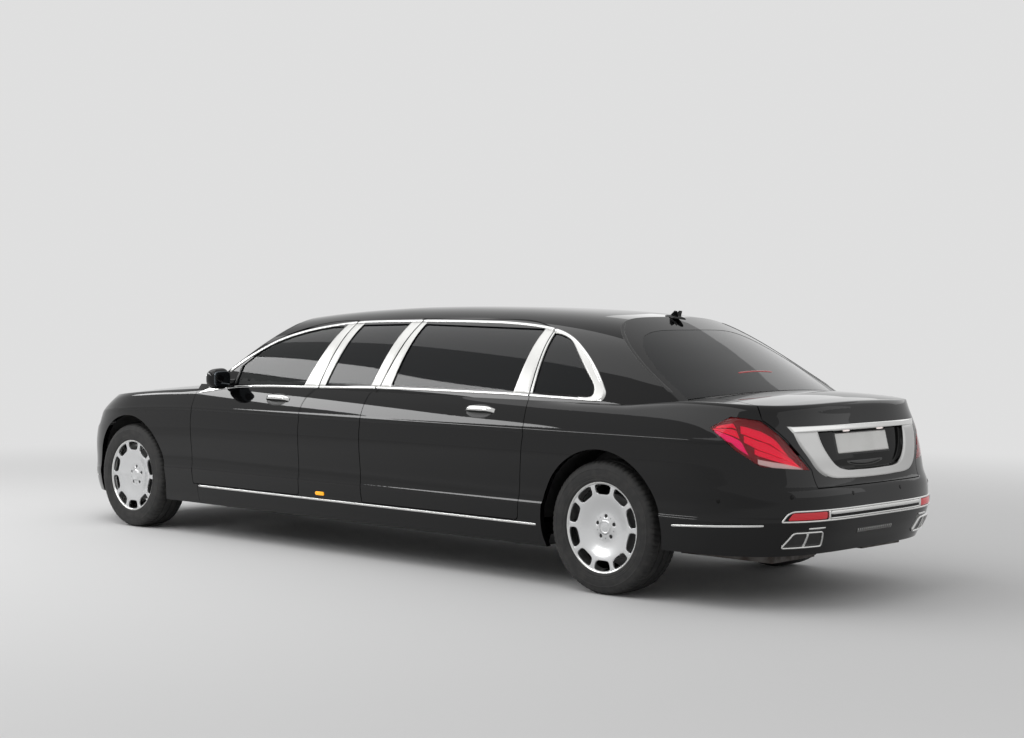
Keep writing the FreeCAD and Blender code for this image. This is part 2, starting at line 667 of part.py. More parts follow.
    # Fenders, bonnet, scuttle, bumpers, lamps and grille
    skin = nose.cut(nose_in)
    front_arch = cylinder_y(FRONT_AXLE, TYRE_R, ARCH_R, 300, 1100)
    lamp_hole = headlamp_prism(LAMP_GAP)
    front_edge = box(BONNET_FRONT, 3400, -1100, 1100, 0, 2000)
    fender = skin.common(box(1572, BONNET_FRONT, 300, 1100, SILL_BOTTOM, 1200)).cut(front_arch)
    fender = fender.cut(box(2300, 3400, 0, 1100, 0, BUMPER_JOIN)).cut(bonnet_space(GAP)).cut(lamp_hole)
    fender = fender.cut(openings[0]).cut(screen_tool(screen_x, SCUTTLE + GAP, -900).common(
        box(0, 3000, 0, BONNET_HALF + GAP, 900, 1300)))
    bonnet_pin = cylinder_y(BONNET_AXIS_X, BONNET_AXIS_Z, LID_PIN_R, BONNET_HALF - 12, BONNET_HALF + 20)
    nodes["front_fender_left"] = largest(largest(fender).fuse(bonnet_pin))
    nodes["front_fender_right"] = mirrored(nodes["front_fender_left"])
    bonnet = skin.common(bonnet_space(0)).cut(grille_prism(NOSE_GAP))
    bonnet_lamp = headlamp_prism(NOSE_GAP)
    bonnet = bonnet.cut(bonnet_lamp).cut(mirrored(bonnet_lamp))
    bonnet_bore = cylinder_y(BONNET_AXIS_X, BONNET_AXIS_Z, LID_PIN_R + SEAT_GAP, BONNET_HALF - 14, BONNET_HALF + 2)
    nodes["bonnet"] = largest(bonnet.cut(bonnet_bore).cut(mirrored(bonnet_bore)))
    scuttle = skin.common(screen_tool(screen_x, 0, SCUTTLE)).common(box(1400, 2100, -698, 698, 980, 1200))
    nodes["scuttle"] = largest(scuttle)
    nose_cover = skin.common(box(2300, 3400, -1100, 1100, SILL_BOTTOM, BUMPER_JOIN)).fuse(
        skin.common(front_edge).common(box(2300, 3400, -1100, 1100, BUMPER_JOIN, 1000)))
    nose_cover = nose_cover.cut(front_arch).cut(mirrored(front_arch)).cut(bonnet_space(GAP))
    nose_cover = nose_cover.cut(lamp_hole).cut(mirrored(lamp_hole)).cut(grille_prism(LAMP_GAP))
    nose_cover = nose_cover.cut(box(2900, 3400, -INTAKE_HALF, INTAKE_HALF, 262, 372))
    nodes["front_bumper"] = largest(nose_cover)
    lamp = body_edge(False, 2, 60, headlamp_prism()).common(box(HEADLAMP_REAR, 3400, 0, 1100, 0, 1000))
    nodes["headlamps"] = Part.makeCompound([largest(lamp), mirrored(largest(lamp))])
    nodes["grille"] = build_grille()
    tail_skin = tail.cut(tail_in)
    lid = tail_skin.common(lid_prism(0))
    lid_lamp = tail_lamp_prism(NOSE_GAP)
    lid_bore = cylinder_y(LID_AXIS_X, LID_AXIS_Z, LID_PIN_R + SEAT_GAP, LID_HALF_FRONT - 14, LID_HALF_FRONT + 12)
    nodes["boot_lid"] = largest(lid.cut(lid_lamp).cut(mirrored(lid_lamp)).cut(lid_bore).cut(mirrored(lid_bore)))
    keep = box(-3300, REAR_AXLE - 200, -1100, 1100, REAR_LIP, BUMPER_JOIN).fuse(
        bumper_join_prism()).fuse(mirrored(bumper_join_prism()))
    lamp_hole = tail_lamp_prism(LAMP_GAP)
    rear_bumper = tail_skin.common(keep).cut(arch).cut(mirrored(arch)).cut(lid_prism(GAP))
    rear_bumper = rear_bumper.cut(lamp_hole).cut(mirrored(lamp_hole))
    for tip in (tip_prism(TIP_GAP), mirrored(tip_prism(TIP_GAP))):
        rear_bumper = rear_bumper.cut(tip)
    nodes["rear_bumper"] = largest(rear_bumper)
    lamp = body_edge(True, 0, 55, tail_lamp_prism()).common(box(-3400, -2500, 0, 1100, 0, 1100))
    nodes["tail_lamps"] = Part.makeCompound([largest(lamp), mirrored(largest(lamp))])
    return nodes, doors, openings


def grille_prism(grow=0.0):
    """Front-view outline of the radiator grille, a little wider at the top."""
    points = grown([(-300, 392), (300, 392), (372, 640), (368, 800), (320, 846), (-320, 846), (-368, 800),
                    (-372, 640)], grow)
    return prism_x(points, 2700, 3400)


def build_grille():
    """Grille shell with a frame, four pairs of bars and a middle bar, cut from the nose's own form."""
    block = body_edge(False, 2, 58, grille_prism()).common(box(2700, 3400, -900, 900, 300, 900))
    frame = 26.0
    bars = 5
    bottom, top = 392 + frame, 846 - frame
    pitch = (top - bottom) / bars
    slots = []
    for i in range(bars):
        low = bottom + i * pitch + (BAR / 2 if i else 0)
        high = bottom + (i + 1) * pitch - (BAR / 2 if i < bars - 1 else 0)
        slots.append(box(2700, 3400, BAR / 2, 372, low, high))
        slots.append(box(2700, 3400, -372, -BAR / 2, low, high))
    inner = grille_prism(-frame)
    openings = slots[0].fuse(slots[1:]).common(inner)
    return largest(block.cut(openings))


def tip_prism(grow=0.0):
    """Left exhaust outlet: a flat trapezoid wider at its foot."""
    points = grown([(470, 345), (700, 345), (672, 412), (498, 412)], grow)
    return prism_x(points, -3250, -2950)


def largest(shape):
    solids = sorted(shape.Solids, key=lambda solid: solid.Volume)
    return solids[-1]


def bumper_join_prism():
    """Side-view wedge by which the rear bumper rises under the lamp."""
    points = [(REAR_AXLE - 300, BUMPER_JOIN - 40), (REAR_AXLE - 300, 690), (-2909, 758), (-3040, 815),
              (-3400, 815), (-3400, BUMPER_JOIN - 40)]
    return side_prism(points, [2, 10, 60, 20, 2, 2], False)


def prism_x(points, x0, x1):
    """Prism along the car from a rear-view outline of (y, z) points."""
    outline = [Vector(x0, y, z) for y, z in points]
    return Part.Face(Part.makePolygon(outline + [outline[0]])).extrude(Vector(x1 - x0, 0, 0))


def prism_y(points, y0, y1):
    """Prism across the car from a side-view outline of (x, z) points."""
    outline = [Vector(x, y0, z) for x, z in points]
    return Part.Face(Part.makePolygon(outline + [outline[0]])).extrude(Vector(0, y1 - y0, 0))


def prism_z(points, z0, z1):
    """Upright prism from a plan outline of (x, y) points."""
    outline = [Vector(x, y, z0) for x, y in points]
    return Part.Face(Part.makePolygon(outline + [outline[0]])).extrude(Vector(0, 0, z1 - z0))


def bonnet_space(grow):
    """Bonnet: between the fenders, its front shut face leaning forwards and its rear edge following the
    windscreen's foot."""
    half = BONNET_HALF + grow
    lean = math.tan(math.radians(SHUT_FLARE))
    low, high, lip = 700.0, 1300.0, 880.0
    front = BONNET_FRONT + grow
    points = [(BONNET_HINGE - grow, low), (front + lean * (low - lip), low), (front + lean * (high - lip), high),
              (BONNET_HINGE - grow, high)]
    return prism_y(points, -half, half).cut(screen_tool(screen_x, SCUTTLE + GAP - grow, -900))


def lid_prism(grow):
    """Boot lid: rear-view outline taken forwards through the tail, within the lid's plan outline."""
    rear = grown([(-LID_HALF_REAR, 1300), (-LID_HALF_REAR, 997), (-655, 902), (-525, 738),
                  (-510, BUMPER_JOIN + GAP), (510, BUMPER_JOIN + GAP), (525, 738), (655, 902),
                  (LID_HALF_REAR, 997), (LID_HALF_REAR, 1300)], grow)
    plan = grown([(LID_FRONT, -LID_HALF_FRONT), (LID_FRONT, LID_HALF_FRONT), (-2990, LID_HALF_REAR),
                  (-3400, LID_HALF_REAR + 40), (-3400, -LID_HALF_REAR - 40), (-2990, -LID_HALF_REAR)], grow)
    return prism_x(rear, LID_FRONT + grow, -3400).common(prism_z(plan, 500, 1300))


def tail_lamp_prism(grow=0.0):
    """Left tail lamp: outline square to the rear corner's diagonal, taken through the corner."""
    root = math.sqrt(0.5)
    near, far = 1500.0, 3600.0
    points = [Vector(s * root - near * root, s * root + near * root, z) for s, z in grown(TAIL_LAMP, grow)]
    depth = far - near
    return Part.Face(Part.makePolygon(points + [points[0]])).extrude(Vector(-depth * root, depth * root, 0))


def headlamp_prism(grow=0.0):
    return prism_x(grown(HEADLAMP, grow), HEADLAMP_REAR - grow, 3400)


def body_edge(tail, inset, depth, outline):
    """Part of the body's outer layer, from inset to inset + depth below its surface, inside an outline."""
    outer = end_block(tail, inset, -1300 if tail else 1300)
    inner = end_block(tail, inset + depth, -1290 if tail else 1290)
    return outer.common(outline).cut(inner)


def build_wheels():
    """Tyre and wheel for each corner, left ones built and right ones mirrored."""
    nodes = {}
    for place, x in (("front", FRONT_AXLE), ("rear", REAR_AXLE)):
        outer = TRACK / 2 + TYRE_WIDTH / 2
        inner = TRACK / 2 - TYRE_WIDTH / 2
        tread = 96.0
        mid = TRACK / 2
        tyre = ring_y([(RIM_R - 6, mid - 100), (RIM_R + 4, mid - 114), (RIM_R + 40, inner + 2),
                       (RIM_R + 66, inner), (TYRE_R - 24, inner + 8), (TYRE_R - 6, mid - tread),
                       (TYRE_R, mid - tread + 30), (TYRE_R, mid + tread - 30), (TYRE_R - 6, mid + tread),
                       (TYRE_R - 24, outer - 8), (RIM_R + 66, outer), (RIM_R + 40, outer - 2),
                       (RIM_R + 4, mid + 114), (RIM_R - 6, mid + 100)], x, TYRE_R)
        face_y = mid + RIM_WIDTH / 2
        rim = ring_y([(RIM_R - 6.3, mid - RIM_WIDTH / 2 + 14), (RIM_R - 6.3, mid + 100),
                      (RIM_R - 1.5, mid + 107.5), (RIM_R - 1.5, face_y), (RIM_R - 12, face_y),
                      (RIM_R - 30, face_y - 16), (RIM_R - 30, mid - RIM_WIDTH / 2 + 14)], x, TYRE_R)
        disc = ring_y([(0, mid + 40), (0, mid + 74), (70, mid + 74), (84, mid + 66), (128, mid + 72),
                       (RIM_R - 42, mid + 98), (RIM_R - 26, mid + 104), (RIM_R - 26, mid + 84),
                       (128, mid + 50), (84, mid + 40)], x, TYRE_R)
        for i in range(RIM_OPENINGS):
            angle = 2 * math.pi * (i + 0.5) / RIM_OPENINGS
            radius = RIM_R - 50
            hole = Part.makeCylinder(17, 120, Vector(x + radius * math.cos(angle), mid + 20,
                                                     TYRE_R + radius * math.sin(angle)), Vector(0, 1, 0))
            disc = disc.cut(hole)
        for i in range(LUGS):
            angle = 2 * math.pi * i / LUGS + math.pi / 2
            hole = Part.makeCylinder(13, 60, Vector(x + LUG_CIRCLE_R * math.cos(angle), mid + 58,
                                                    TYRE_R + LUG_CIRCLE_R * math.sin(angle)), Vector(0, 1, 0))
            disc = disc.cut(hole)
        wheel = rim.fuse(disc).removeSplitter()
        nodes["tyre_%s_left" % place] = tyre
        nodes["wheel_%s_left" % place] = wheel
        nodes["tyre_%s_right" % place] = mirrored(tyre)
        nodes["wheel_%s_right" % place] = mirrored(wheel)
    return nodes


def bar(a, b, radius):
    """Round bar between two points."""
    start, end = Vector(*a), Vector(*b)
    return Part.makeCylinder(radius, (end - start).Length, start, end - start)


def both_sides(shape):
    return [shape, mirrored(shape)]


def build_floor(openings):
    """Floor, tunnel, front wall with its pillars, front rails, rear floor and shelf."""
    inner = SILL_IN
    wall_front = FIREWALL_X + FIREWALL
    hollow_half = TUNNEL_HALF - FLOOR_SHEET
    floor = box(FLOOR_REAR_X, FIREWALL_X, -inner, inner, FLOOR_Z, FLOOR_TOP)
    tunnel = box(FLOOR_REAR_X, wall_front, -TUNNEL_HALF, TUNNEL_HALF, FLOOR_Z, TUNNEL_TOP)
    hollow = box(FLOOR_REAR_X, wall_front, -hollow_half, hollow_half, FLOOR_Z - 5, TUNNEL_TOP - FLOOR_SHEET)
    under_bonnet = end_block(False, SKIN + SEAT_GAP, 1290).common(under_deck(SKIN + SEAT_GAP))
    wall = box(FIREWALL_X, wall_front, -inner, inner, FLOOR_TOP - 10, 1080).common(under_bonnet)
    pillar = box(FIREWALL_X - 40, 1660, 640, 860, SILL_TOP, POST_TOP).common(under_bonnet)
    pillar = pillar.cut(hinge_round(True, GAP))
    rail = box(FIREWALL_X, RAIL_FRONT, RAIL_Y, RAIL_Y + RAIL_WIDTH, 430, 520)
    tower = box(FRONT_AXLE - 80, FRONT_AXLE + 80, RAIL_Y, 640, TOWER_TOP - 60, TOWER_TOP)
    tower_wall = box(FRONT_AXLE - 90, FRONT_AXLE + 90, RAIL_Y, RAIL_Y + 30, 500, TOWER_TOP)
    cross = box(RAIL_FRONT - 40, RAIL_FRONT, -RAIL_Y - RAIL_WIDTH, RAIL_Y + RAIL_WIDTH, 430, 700)
    kick = box(FLOOR_REAR_X, FLOOR_REAR_X + 30, -640, 640, FLOOR_Z, REAR_FLOOR + FLOOR_SHEET)
    rear_floor = box(BOOT_REAR_X, FLOOR_REAR_X, -640, 640, REAR_FLOOR, REAR_FLOOR + FLOOR_SHEET)
    shelf = box(-2640, -2175, -640, 640, 1030, 1050)
    seat_wall = box(-2240, -2215, -640, 640, REAR_FLOOR + 10, 1040)
    rear_panel = box(-3140, -3110, -500, 500, REAR_FLOOR, 600)
    pieces = [floor.cut(hollow), tunnel.cut(hollow), wall.cut(hollow), kick.cut(hollow), rear_floor, shelf,
              seat_wall, rear_panel, cross]
    for piece in (rail, tower, tower_wall):
        pieces += both_sides(piece)
    for opening in openings:
        pillar = pillar.cut(opening)
    stop = box(RAIL_FRONT - 40, RAIL_FRONT, 290, 330, 690, 1000).common(under_bonnet)
    cowl = prism_y([(-2634, 1135), (-2616, 1106), (-2616, 1045), (-2500, 1045), (-2500, 1135)], -640, 640)
    cowl = cowl.cut(above_deck()).cut(box(-2610, -2500, -600, 600, 1045, 1085))
    for piece in [largest(pillar), stop] + [hinge_leaf(True, z) for z in HINGE_LEVELS]:
        pieces += both_sides(piece)
    pieces.append(cowl)
    return merged(pieces)


def build_liners():
    """Wheel-arch liners: a half shell over each wheel, closed on its inner side at the rear."""
    liners = []
    spaces = {False: end_block(False, SKIN + SEAT_GAP, 1290), True: end_block(True, SKIN + SEAT_GAP, -1290)}
    for x, inner, outer in ((FRONT_AXLE, RAIL_Y + 36, 930), (REAR_AXLE, 646, 930)):
        ring = cylinder_y(x, TYRE_R, ARCH_R + 8, inner, outer).cut(
            cylinder_y(x, TYRE_R, ARCH_R + 2, inner - 1, outer + 1))
        if x < 0:
            ring = ring.fuse(cylinder_y(x, TYRE_R, ARCH_R + 4, inner, inner + 5))
        ring = ring.common(box(x - 600, x + 600, 0, 1000, TYRE_R + 20, 1000)).common(spaces[x < 0])
        if x > 0:
            ring = ring.cut(box(x - 95, x + 95, 0, 645, 790, 900))
        liners += both_sides(ring)
    return Part.makeCompound(liners)


def build_front_suspension():
    """Front subframe, arms, springs and struts up to the towers."""
    beam = box(FRONT_AXLE - 150, FRONT_AXLE + 150, -RAIL_Y, RAIL_Y, 200, 262)
    pieces = [beam.cut(box(FRONT_AXLE - 90, FRONT_AXLE + 90, -RAIL_Y + 90, RAIL_Y - 90, 190, 270))]
    for side in (1, -1):
        eye = Part.makeCylinder(20, 23, Vector(FRONT_AXLE, side * KINGPIN_Y, 205))
        arm = prism_z([(FRONT_AXLE - 130, side * (RAIL_Y - 20)), (FRONT_AXLE + 130, side * (RAIL_Y - 20)),
                       (FRONT_AXLE + 18, side * KINGPIN_Y), (FRONT_AXLE - 18, side * KINGPIN_Y)], 205, 228)
        upright = box(FRONT_AXLE - 60, FRONT_AXLE + 60, min(side * RAIL_Y, side * (RAIL_Y + 30)),
                      max(side * RAIL_Y, side * (RAIL_Y + 30)), 228, 500)
        upper = prism_z([(FRONT_AXLE - 80, side * (RAIL_Y + 34)), (FRONT_AXLE + 80, side * (RAIL_Y + 34)),
                         (FRONT_AXLE + 18, side * KINGPIN_Y), (FRONT_AXLE - 18, side * KINGPIN_Y)], 520, 540)
        upper_eye = Part.makeCylinder(20, 20, Vector(FRONT_AXLE, side * KINGPIN_Y, 520))
        strut = bar((FRONT_AXLE, side * 570, 216), (FRONT_AXLE, side * 547, 770), 24)
        spring = Part.makeCylinder(46, 799.7 - 575, Vector(FRONT_AXLE, side * 548, 575))
        pieces += [eye, arm, upright.cut(box(FRONT_AXLE - 200, FRONT_AXLE + 200, -900, 900, 430, 530)),
                   upper, upper_eye, strut, spring]
    return merged(pieces)


def build_knuckle():
    """Left front hub carrier with its stub and brake caliper."""
    stub = cylinder_y(FRONT_AXLE, TYRE_R, STUB_R, KINGPIN_Y - 30, TRACK / 2 + 40 - SEAT_GAP)
    post = box(FRONT_AXLE - 24, FRONT_AXLE + 24, KINGPIN_Y - 26, KINGPIN_Y + 10, 228 + SEAT_GAP,
               520 - SEAT_GAP)
    disc = cylinder_y(FRONT_AXLE, TYRE_R, BRAKE_R, TRACK / 2 - 18, TRACK / 2 + 10)
    caliper = ring_y([(110, TRACK / 2 - 40), (200, TRACK / 2 - 40), (200, TRACK / 2 + 30),
                      (110, TRACK / 2 + 30)], FRONT_AXLE, TYRE_R).common(
        box(FRONT_AXLE - 230, FRONT_AXLE - 60, 600, 900, TYRE_R - 90, TYRE_R + 110))
    return merged([stub, post, disc, caliper])


def build_rear_suspension():
    """Rear subframe, final drive, half shafts, arms and hub carriers."""
    beam = box(REAR_AXLE - 170, REAR_AXLE + 170, -420, 420, 262, 330)
    drive = Part.makeSphere(120, Vector(REAR_AXLE, 0, 340)).common(
        box(REAR_AXLE - 200, REAR_AXLE + 200, -110, 110, 240, 429))
    pieces = [beam, drive]
    for side in (1, -1):
        near, far = sorted((side * 660, side * (TRACK / 2 + 40 - SEAT_GAP)))
        pieces.append(cylinder_y(REAR_AXLE, TYRE_R, STUB_R, near, far))
        near, far = sorted((side * 60, side * 700))
        pieces.append(cylinder_y(REAR_AXLE, TYRE_R, 18, near, far))
        near, far = sorted((side * (TRACK / 2 - 18), side * (TRACK / 2 + 10)))
        pieces.append(cylinder_y(REAR_AXLE, TYRE_R, BRAKE_R, near, far))
        pieces.append(box(REAR_AXLE - 30, REAR_AXLE + 30, min(side * 690, side * 730),
                          max(side * 690, side * 730), 230, 500))
        pieces.append(prism_z([(REAR_AXLE - 150, side * 400), (REAR_AXLE + 150, side * 400),
                               (REAR_AXLE + 28, side * 725), (REAR_AXLE - 28, side * 725)], 262, 290))
        pieces.append(bar((REAR_AXLE - 60, side * 560, 275), (REAR_AXLE - 60, side * 560, 430), 40))
        near, far = sorted((side * 420, side * 385))
        pieces.append(box(REAR_AXLE - 150, REAR_AXLE - 90, near, far, 300, REAR_FLOOR))
        pieces.append(box(REAR_AXLE + 90, REAR_AXLE + 150, near, far, 300, REAR_FLOOR))
    return merged(pieces)


def build_exhaust():
    """Twin pipes under the floor, rear silencers and the two outlets in the bumper."""
    pieces = []
    for side in (1, -1):
        run = [(1450, side * 52, 300), (-1690, side * 52, 300), (-1870, side * 190, 226), (-2260, side * 290, 226),
               (-2420, side * 310, 262)]
        for start, end in zip(run, run[1:]):
            pieces.append(bar(start, end, PIPE_R))
        for bend in run[1:-1]:
            pieces.append(Part.makeSphere(PIPE_R, Vector(*bend)))
        near, far = sorted(side * y for y in SILENCER_Y)
        pieces.append(box(-3000, -2400, near, far, 240, 400))
    tip = tip_prism(-1.0)
    inside = tip_prism(-9.0)
    outlet = tip.cut(inside).common(end_block(True, 10, -1300))
    pieces += [outlet, mirrored(outlet), box(-2440, -2410, -245, 245, 300, 340),
               box(-2990, -2960, -245, 245, 360, REAR_FLOOR)]
    return merged(pieces)


def seat(x_front, x_back, y, z_low, z_seat, z_top, width, facing=1):
    """Armchair cushion and leaning back with its head rest; facing 1 looks forwards."""
    depth = abs(x_front - x_back)
    f = facing
    cushion = [(0, z_low), (f * depth, z_low), (f * (depth + 10), z_seat - 30), (f * (depth - 20), z_seat),
               (0, z_seat - 20)]
    lean = 0.26 * (z_top - z_seat)
    back = [(0, z_low), (0, z_seat - 20), (-f * lean, z_top), (-f * (lean + 90), z_top),
            (-f * 150, z_seat), (-f * 120, z_low)]
    head = [(-f * (lean - 8), z_top + 12), (-f * (lean + 22), z_top + 160), (-f * (lean + 100), z_top + 150),
            (-f * (lean + 80), z_top + 12)]
    post = [(-f * (lean + 30), z_top - 10), (-f * (lean + 50), z_top - 10), (-f * (lean + 56), z_top + 40),
            (-f * (lean + 36), z_top + 40)]
    pieces = []
    for outline, half in ((cushion, width / 2), (back, width / 2 - 5), (head, 140), (post, 60)):
        pieces.append(prism_y([(x_back + x, z) for x, z in outline], y - half, y + half))
    return merged(pieces)


def build_interior(nodes, cabin_space):
    """Seats, dashboard, console and the partition behind the driver."""
    front = [seat(1010, 480, y, FLOOR_TOP, 520, 1050, 500) for y in (SEAT_Y, -SEAT_Y)]
    nodes["front_seats"] = Part.makeCompound(front)
    rear = [seat(-1420, -1940, y, REAR_FLOOR + FLOOR_SHEET, 600, 1080, 600) for y in (REAR_SEAT_Y, -REAR_SEAT_Y)]
    facing = [seat(-600, -180, y, FLOOR_TOP, 510, 930, 460, -1) for y in (REAR_SEAT_Y, -REAR_SEAT_Y)]
    nodes["rear_cabin_seats"] = Part.makeCompound(rear + facing)
    dash = prism_y([(FIREWALL_X, 620), (FIREWALL_X, 1010), (1330, 1000), (1240, 940), (1230, 800),
                    (1330, 700), (1400, 620)], -690, 690)
    console = box(330, 1330, -105, 105, TUNNEL_TOP, 600).fuse(box(1230, 1420, -120, 120, TUNNEL_TOP, 800))
    tilt = math.radians(STEERING_TILT)
    neck = (STEERING_X + STEERING_NECK * math.cos(tilt), SEAT_Y, STEERING_Z - STEERING_NECK * math.sin(tilt))
    foot_x = FIREWALL_X - 80
    column = bar(neck, (foot_x, SEAT_Y, STEERING_Z - math.tan(tilt) * (foot_x - STEERING_X)), 34)
    nodes["dashboard"] = merged([dash, console, column])
    rear_face = PARTITION_X - PARTITION / 2
    front_face = PARTITION_X + PARTITION / 2
    half = HALF_WIDTH - DOOR_THICK - SEAT_GAP
    foot = box(rear_face, front_face, -SILL_IN, SILL_IN, FLOOR_TOP, SILL_TOP)
    middle = box(rear_face, front_face, -half, half, SILL_TOP, CABIN_BASE + 20)
    upper = cabin_space.common(box(rear_face, front_face, -half, half, CABIN_BASE + 20, 1700))
    outline = foot.fuse([middle, upper])
    outline = outline.cut(box(PARTITION_X - 40, PARTITION_X + 40, -TUNNEL_HALF - 1, TUNNEL_HALF + 1, 200,
                              TUNNEL_TOP + 0.3))
    window = box(PARTITION_X - 30, PARTITION_X + 30, -560, 560, 1080, 1440)
    pane = box(PARTITION_X - 4, PARTITION_X + 4, -565, 565, 1075, 1445)
    nodes["partition"] = merged([outline.cut(window), pane])
    mount = RAIL_Y - SEAT_GAP
    nodes["engine_block"] = box(1600, 2780, -250, 250, 380, 800).fuse(
        box(FIREWALL_X + FIREWALL + 1, 1620, -140, 140, 300, 560)).fuse(box(2250, 2480, -mount, mount, 460, 500))


def build_steering_wheel():
    """Rim, four spokes and hub, built flat and tilted onto the column."""
    rim = Part.makeTorus(STEERING_R, 15)
    hub = Part.makeCylinder(56, 45, Vector(0, 0, -5))
    neck = Part.makeCylinder(22, STEERING_NECK - SEAT_GAP, Vector(0, 0, 0))
    pieces = [rim, hub, neck]
    for angle in (20, 160, 245, 295):
        spoke = box(30, STEERING_R - 2, -16, 16, -2, 12)
        spoke.rotate(Vector(0, 0, 0), Vector(0, 0, 1), angle)
        pieces.append(spoke)
    wheel = merged(pieces)
    wheel.rotate(Vector(0, 0, 0), Vector(0, 1, 0), 90 + STEERING_TILT)
    wheel.translate(Vector(STEERING_X, SEAT_Y, STEERING_Z))
    return wheel


def build_mirror():
    """Left door mirror: rounded housing on a short foot."""
    shell = rounded_block(1235, 1345, 884, 1064, 1026, 1170, 34)
    foot = box(1262, 1330, 838, 900, 1044, 1074)
    return merged([shell, foot])


def rounded_block(x0, x1, y0, y1, z0, z1, radius):
    block = box(x0, x1, y0, y1, z0, z1)
    return block.makeFillet(radius, block.Edges)


def build_handle(x_front):
    """Bow-shaped door handle on two feet, on the outer skin below the waist."""
    length = HANDLE_LENGTH
    z = HANDLE_Z
    y = side_y(0, z)
    grip = rounded_block(x_front - length, x_front, y + 14, y + 34, z - 14, z + 14, 8)
    feet = [box(x_front - 40, x_front - 10, y - 8, y + 16, z - 10, z + 10),
            box(x_front - length + 10, x_front - length + 50, y - 8, y + 16, z - 10, z + 10)]
    return merged([grip] + feet)


def build_aerial():
    """Low oval base with two small fins on the rear of the roof."""
    x = AERIAL_X
    length = 150.0
    width = 70.0
    z = HEIGHT - smooth(ROOF_LINE, x)
    base = Part.makeCylinder(50, 26, Vector(0, 0, -14))
    base = base.makeFillet(6, [edge for edge in base.Edges if edge.BoundBox.ZMin > 5])
    shape = FreeCAD.Matrix()
    shape.scale(Vector(length / 100, width / 100, 1))
    base = base.transformGeometry(shape)
    fins = [prism_y([(-30, 8), (34, 8), (-6, 42), (-26, 44)], s * 22 - 4, s * 22 + 4) for s in (1, -1)]
    aerial = base.fuse(fins)
    aerial.rotate(Vector(0, 0, 0), Vector(0, 1, 0), -5.5)
    aerial.translate(Vector(x, 0, z))
    return aerial.removeSplitter()


def export(nodes):
    os.makedirs("parts", exist_ok=True)
    for name, shape in nodes.items():
        solids = shape.Solids
        result = solids[0] if len(solids) == 1 else Part.makeCompound(solids)
        result.exportStep("parts/%s.step" % name)


def main():
    nodes, doors, openings = build_body()
    handles = {name: build_handle(x_front) for name, x_front in HANDLE_FRONTS.items()}
    for name, (door, glass) in doors.items():
        panel = merged([door, handles[name]])
        nodes["door_%s_left" % name] = panel
        nodes["door_%s_right" % name] = mirrored(panel)
        nodes["door_glass_%s_left" % name] = glass
        nodes["door_glass_%s_right" % name] = mirrored(glass)
    mirror = build_mirror().cut(nodes["door_front_left"]).cut(nodes["door_glass_front_left"])
    nodes["mirror_left"] = largest(mirror)
    nodes["mirror_right"] = mirrored(nodes["mirror_left"])
    nodes.update(build_wheels())
    nodes["floor_pan"] = build_floor(openings)
    nodes["arch_liners"] = build_liners()
    nodes["front_suspension"] = build_front_suspension()
    nodes["knuckle_left"] = build_knuckle()
    nodes["knuckle_right"] = mirrored(nodes["knuckle_left"])
    nodes["rear_suspension"] = build_rear_suspension()
    nodes["exhaust"] = build_exhaust()
    build_interior(nodes, cabin_block(ROOF_SHELL + SEAT_GAP))
    nodes["steering_wheel"] = build_steering_wheel()
    nodes["aerial"] = build_aerial().cut(nodes["roof"])
    for name, shape in nodes.items():
        if not shape.isValid() or len(shape.Solids) != EXPECTED.get(name, 1):
            print("look at", name, len(shape.Solids), shape.isValid())
    export(nodes)


main()
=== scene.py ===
"""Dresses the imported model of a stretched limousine: paint, glass, bright trim, lamps, wheels and cabin.

Every length is in metres in the car's own frame: +X forwards, +Y to the car's left, +Z up.
"""
import json
import logging
import math
from dataclasses import dataclass
from enum import Enum
from typing import Callable, Iterable, Optional, Sequence, Union

import bmesh
import bpy
import numpy as np
from mathutils import Matrix, Vector

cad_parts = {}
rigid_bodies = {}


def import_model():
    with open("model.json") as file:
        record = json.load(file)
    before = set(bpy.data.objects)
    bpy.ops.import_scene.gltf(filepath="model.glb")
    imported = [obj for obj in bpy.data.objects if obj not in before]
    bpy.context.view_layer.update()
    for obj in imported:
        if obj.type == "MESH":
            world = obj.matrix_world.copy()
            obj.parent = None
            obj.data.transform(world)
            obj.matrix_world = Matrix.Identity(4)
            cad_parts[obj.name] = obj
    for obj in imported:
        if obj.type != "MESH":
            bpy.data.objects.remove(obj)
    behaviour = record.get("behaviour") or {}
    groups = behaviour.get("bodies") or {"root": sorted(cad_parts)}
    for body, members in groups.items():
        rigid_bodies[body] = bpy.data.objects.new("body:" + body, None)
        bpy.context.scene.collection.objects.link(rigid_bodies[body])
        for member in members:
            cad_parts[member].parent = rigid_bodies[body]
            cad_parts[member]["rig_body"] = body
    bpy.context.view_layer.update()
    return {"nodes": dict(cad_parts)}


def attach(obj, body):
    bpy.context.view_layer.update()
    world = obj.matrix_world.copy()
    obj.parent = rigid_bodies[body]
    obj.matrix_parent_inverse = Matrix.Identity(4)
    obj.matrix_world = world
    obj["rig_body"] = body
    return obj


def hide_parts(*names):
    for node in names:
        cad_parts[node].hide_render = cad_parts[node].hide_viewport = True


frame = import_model()

LOG = logging.getLogger("limousine")
MM = 0.001
Array = np.ndarray
Table = Sequence[tuple[float, float]]
Pair = tuple[float, float]
Colour = tuple[float, float, float]


class End(Enum):
    """The two ends of the car."""

    NOSE = 1
    TAIL = -1


class Side(Enum):
    """The two sides of the car, by the sign of y."""

    LEFT = 1
    RIGHT = -1

    @property
    def word(self) -> str:
        """Lower-case name, as the nodes have it."""
        return self.name.lower()


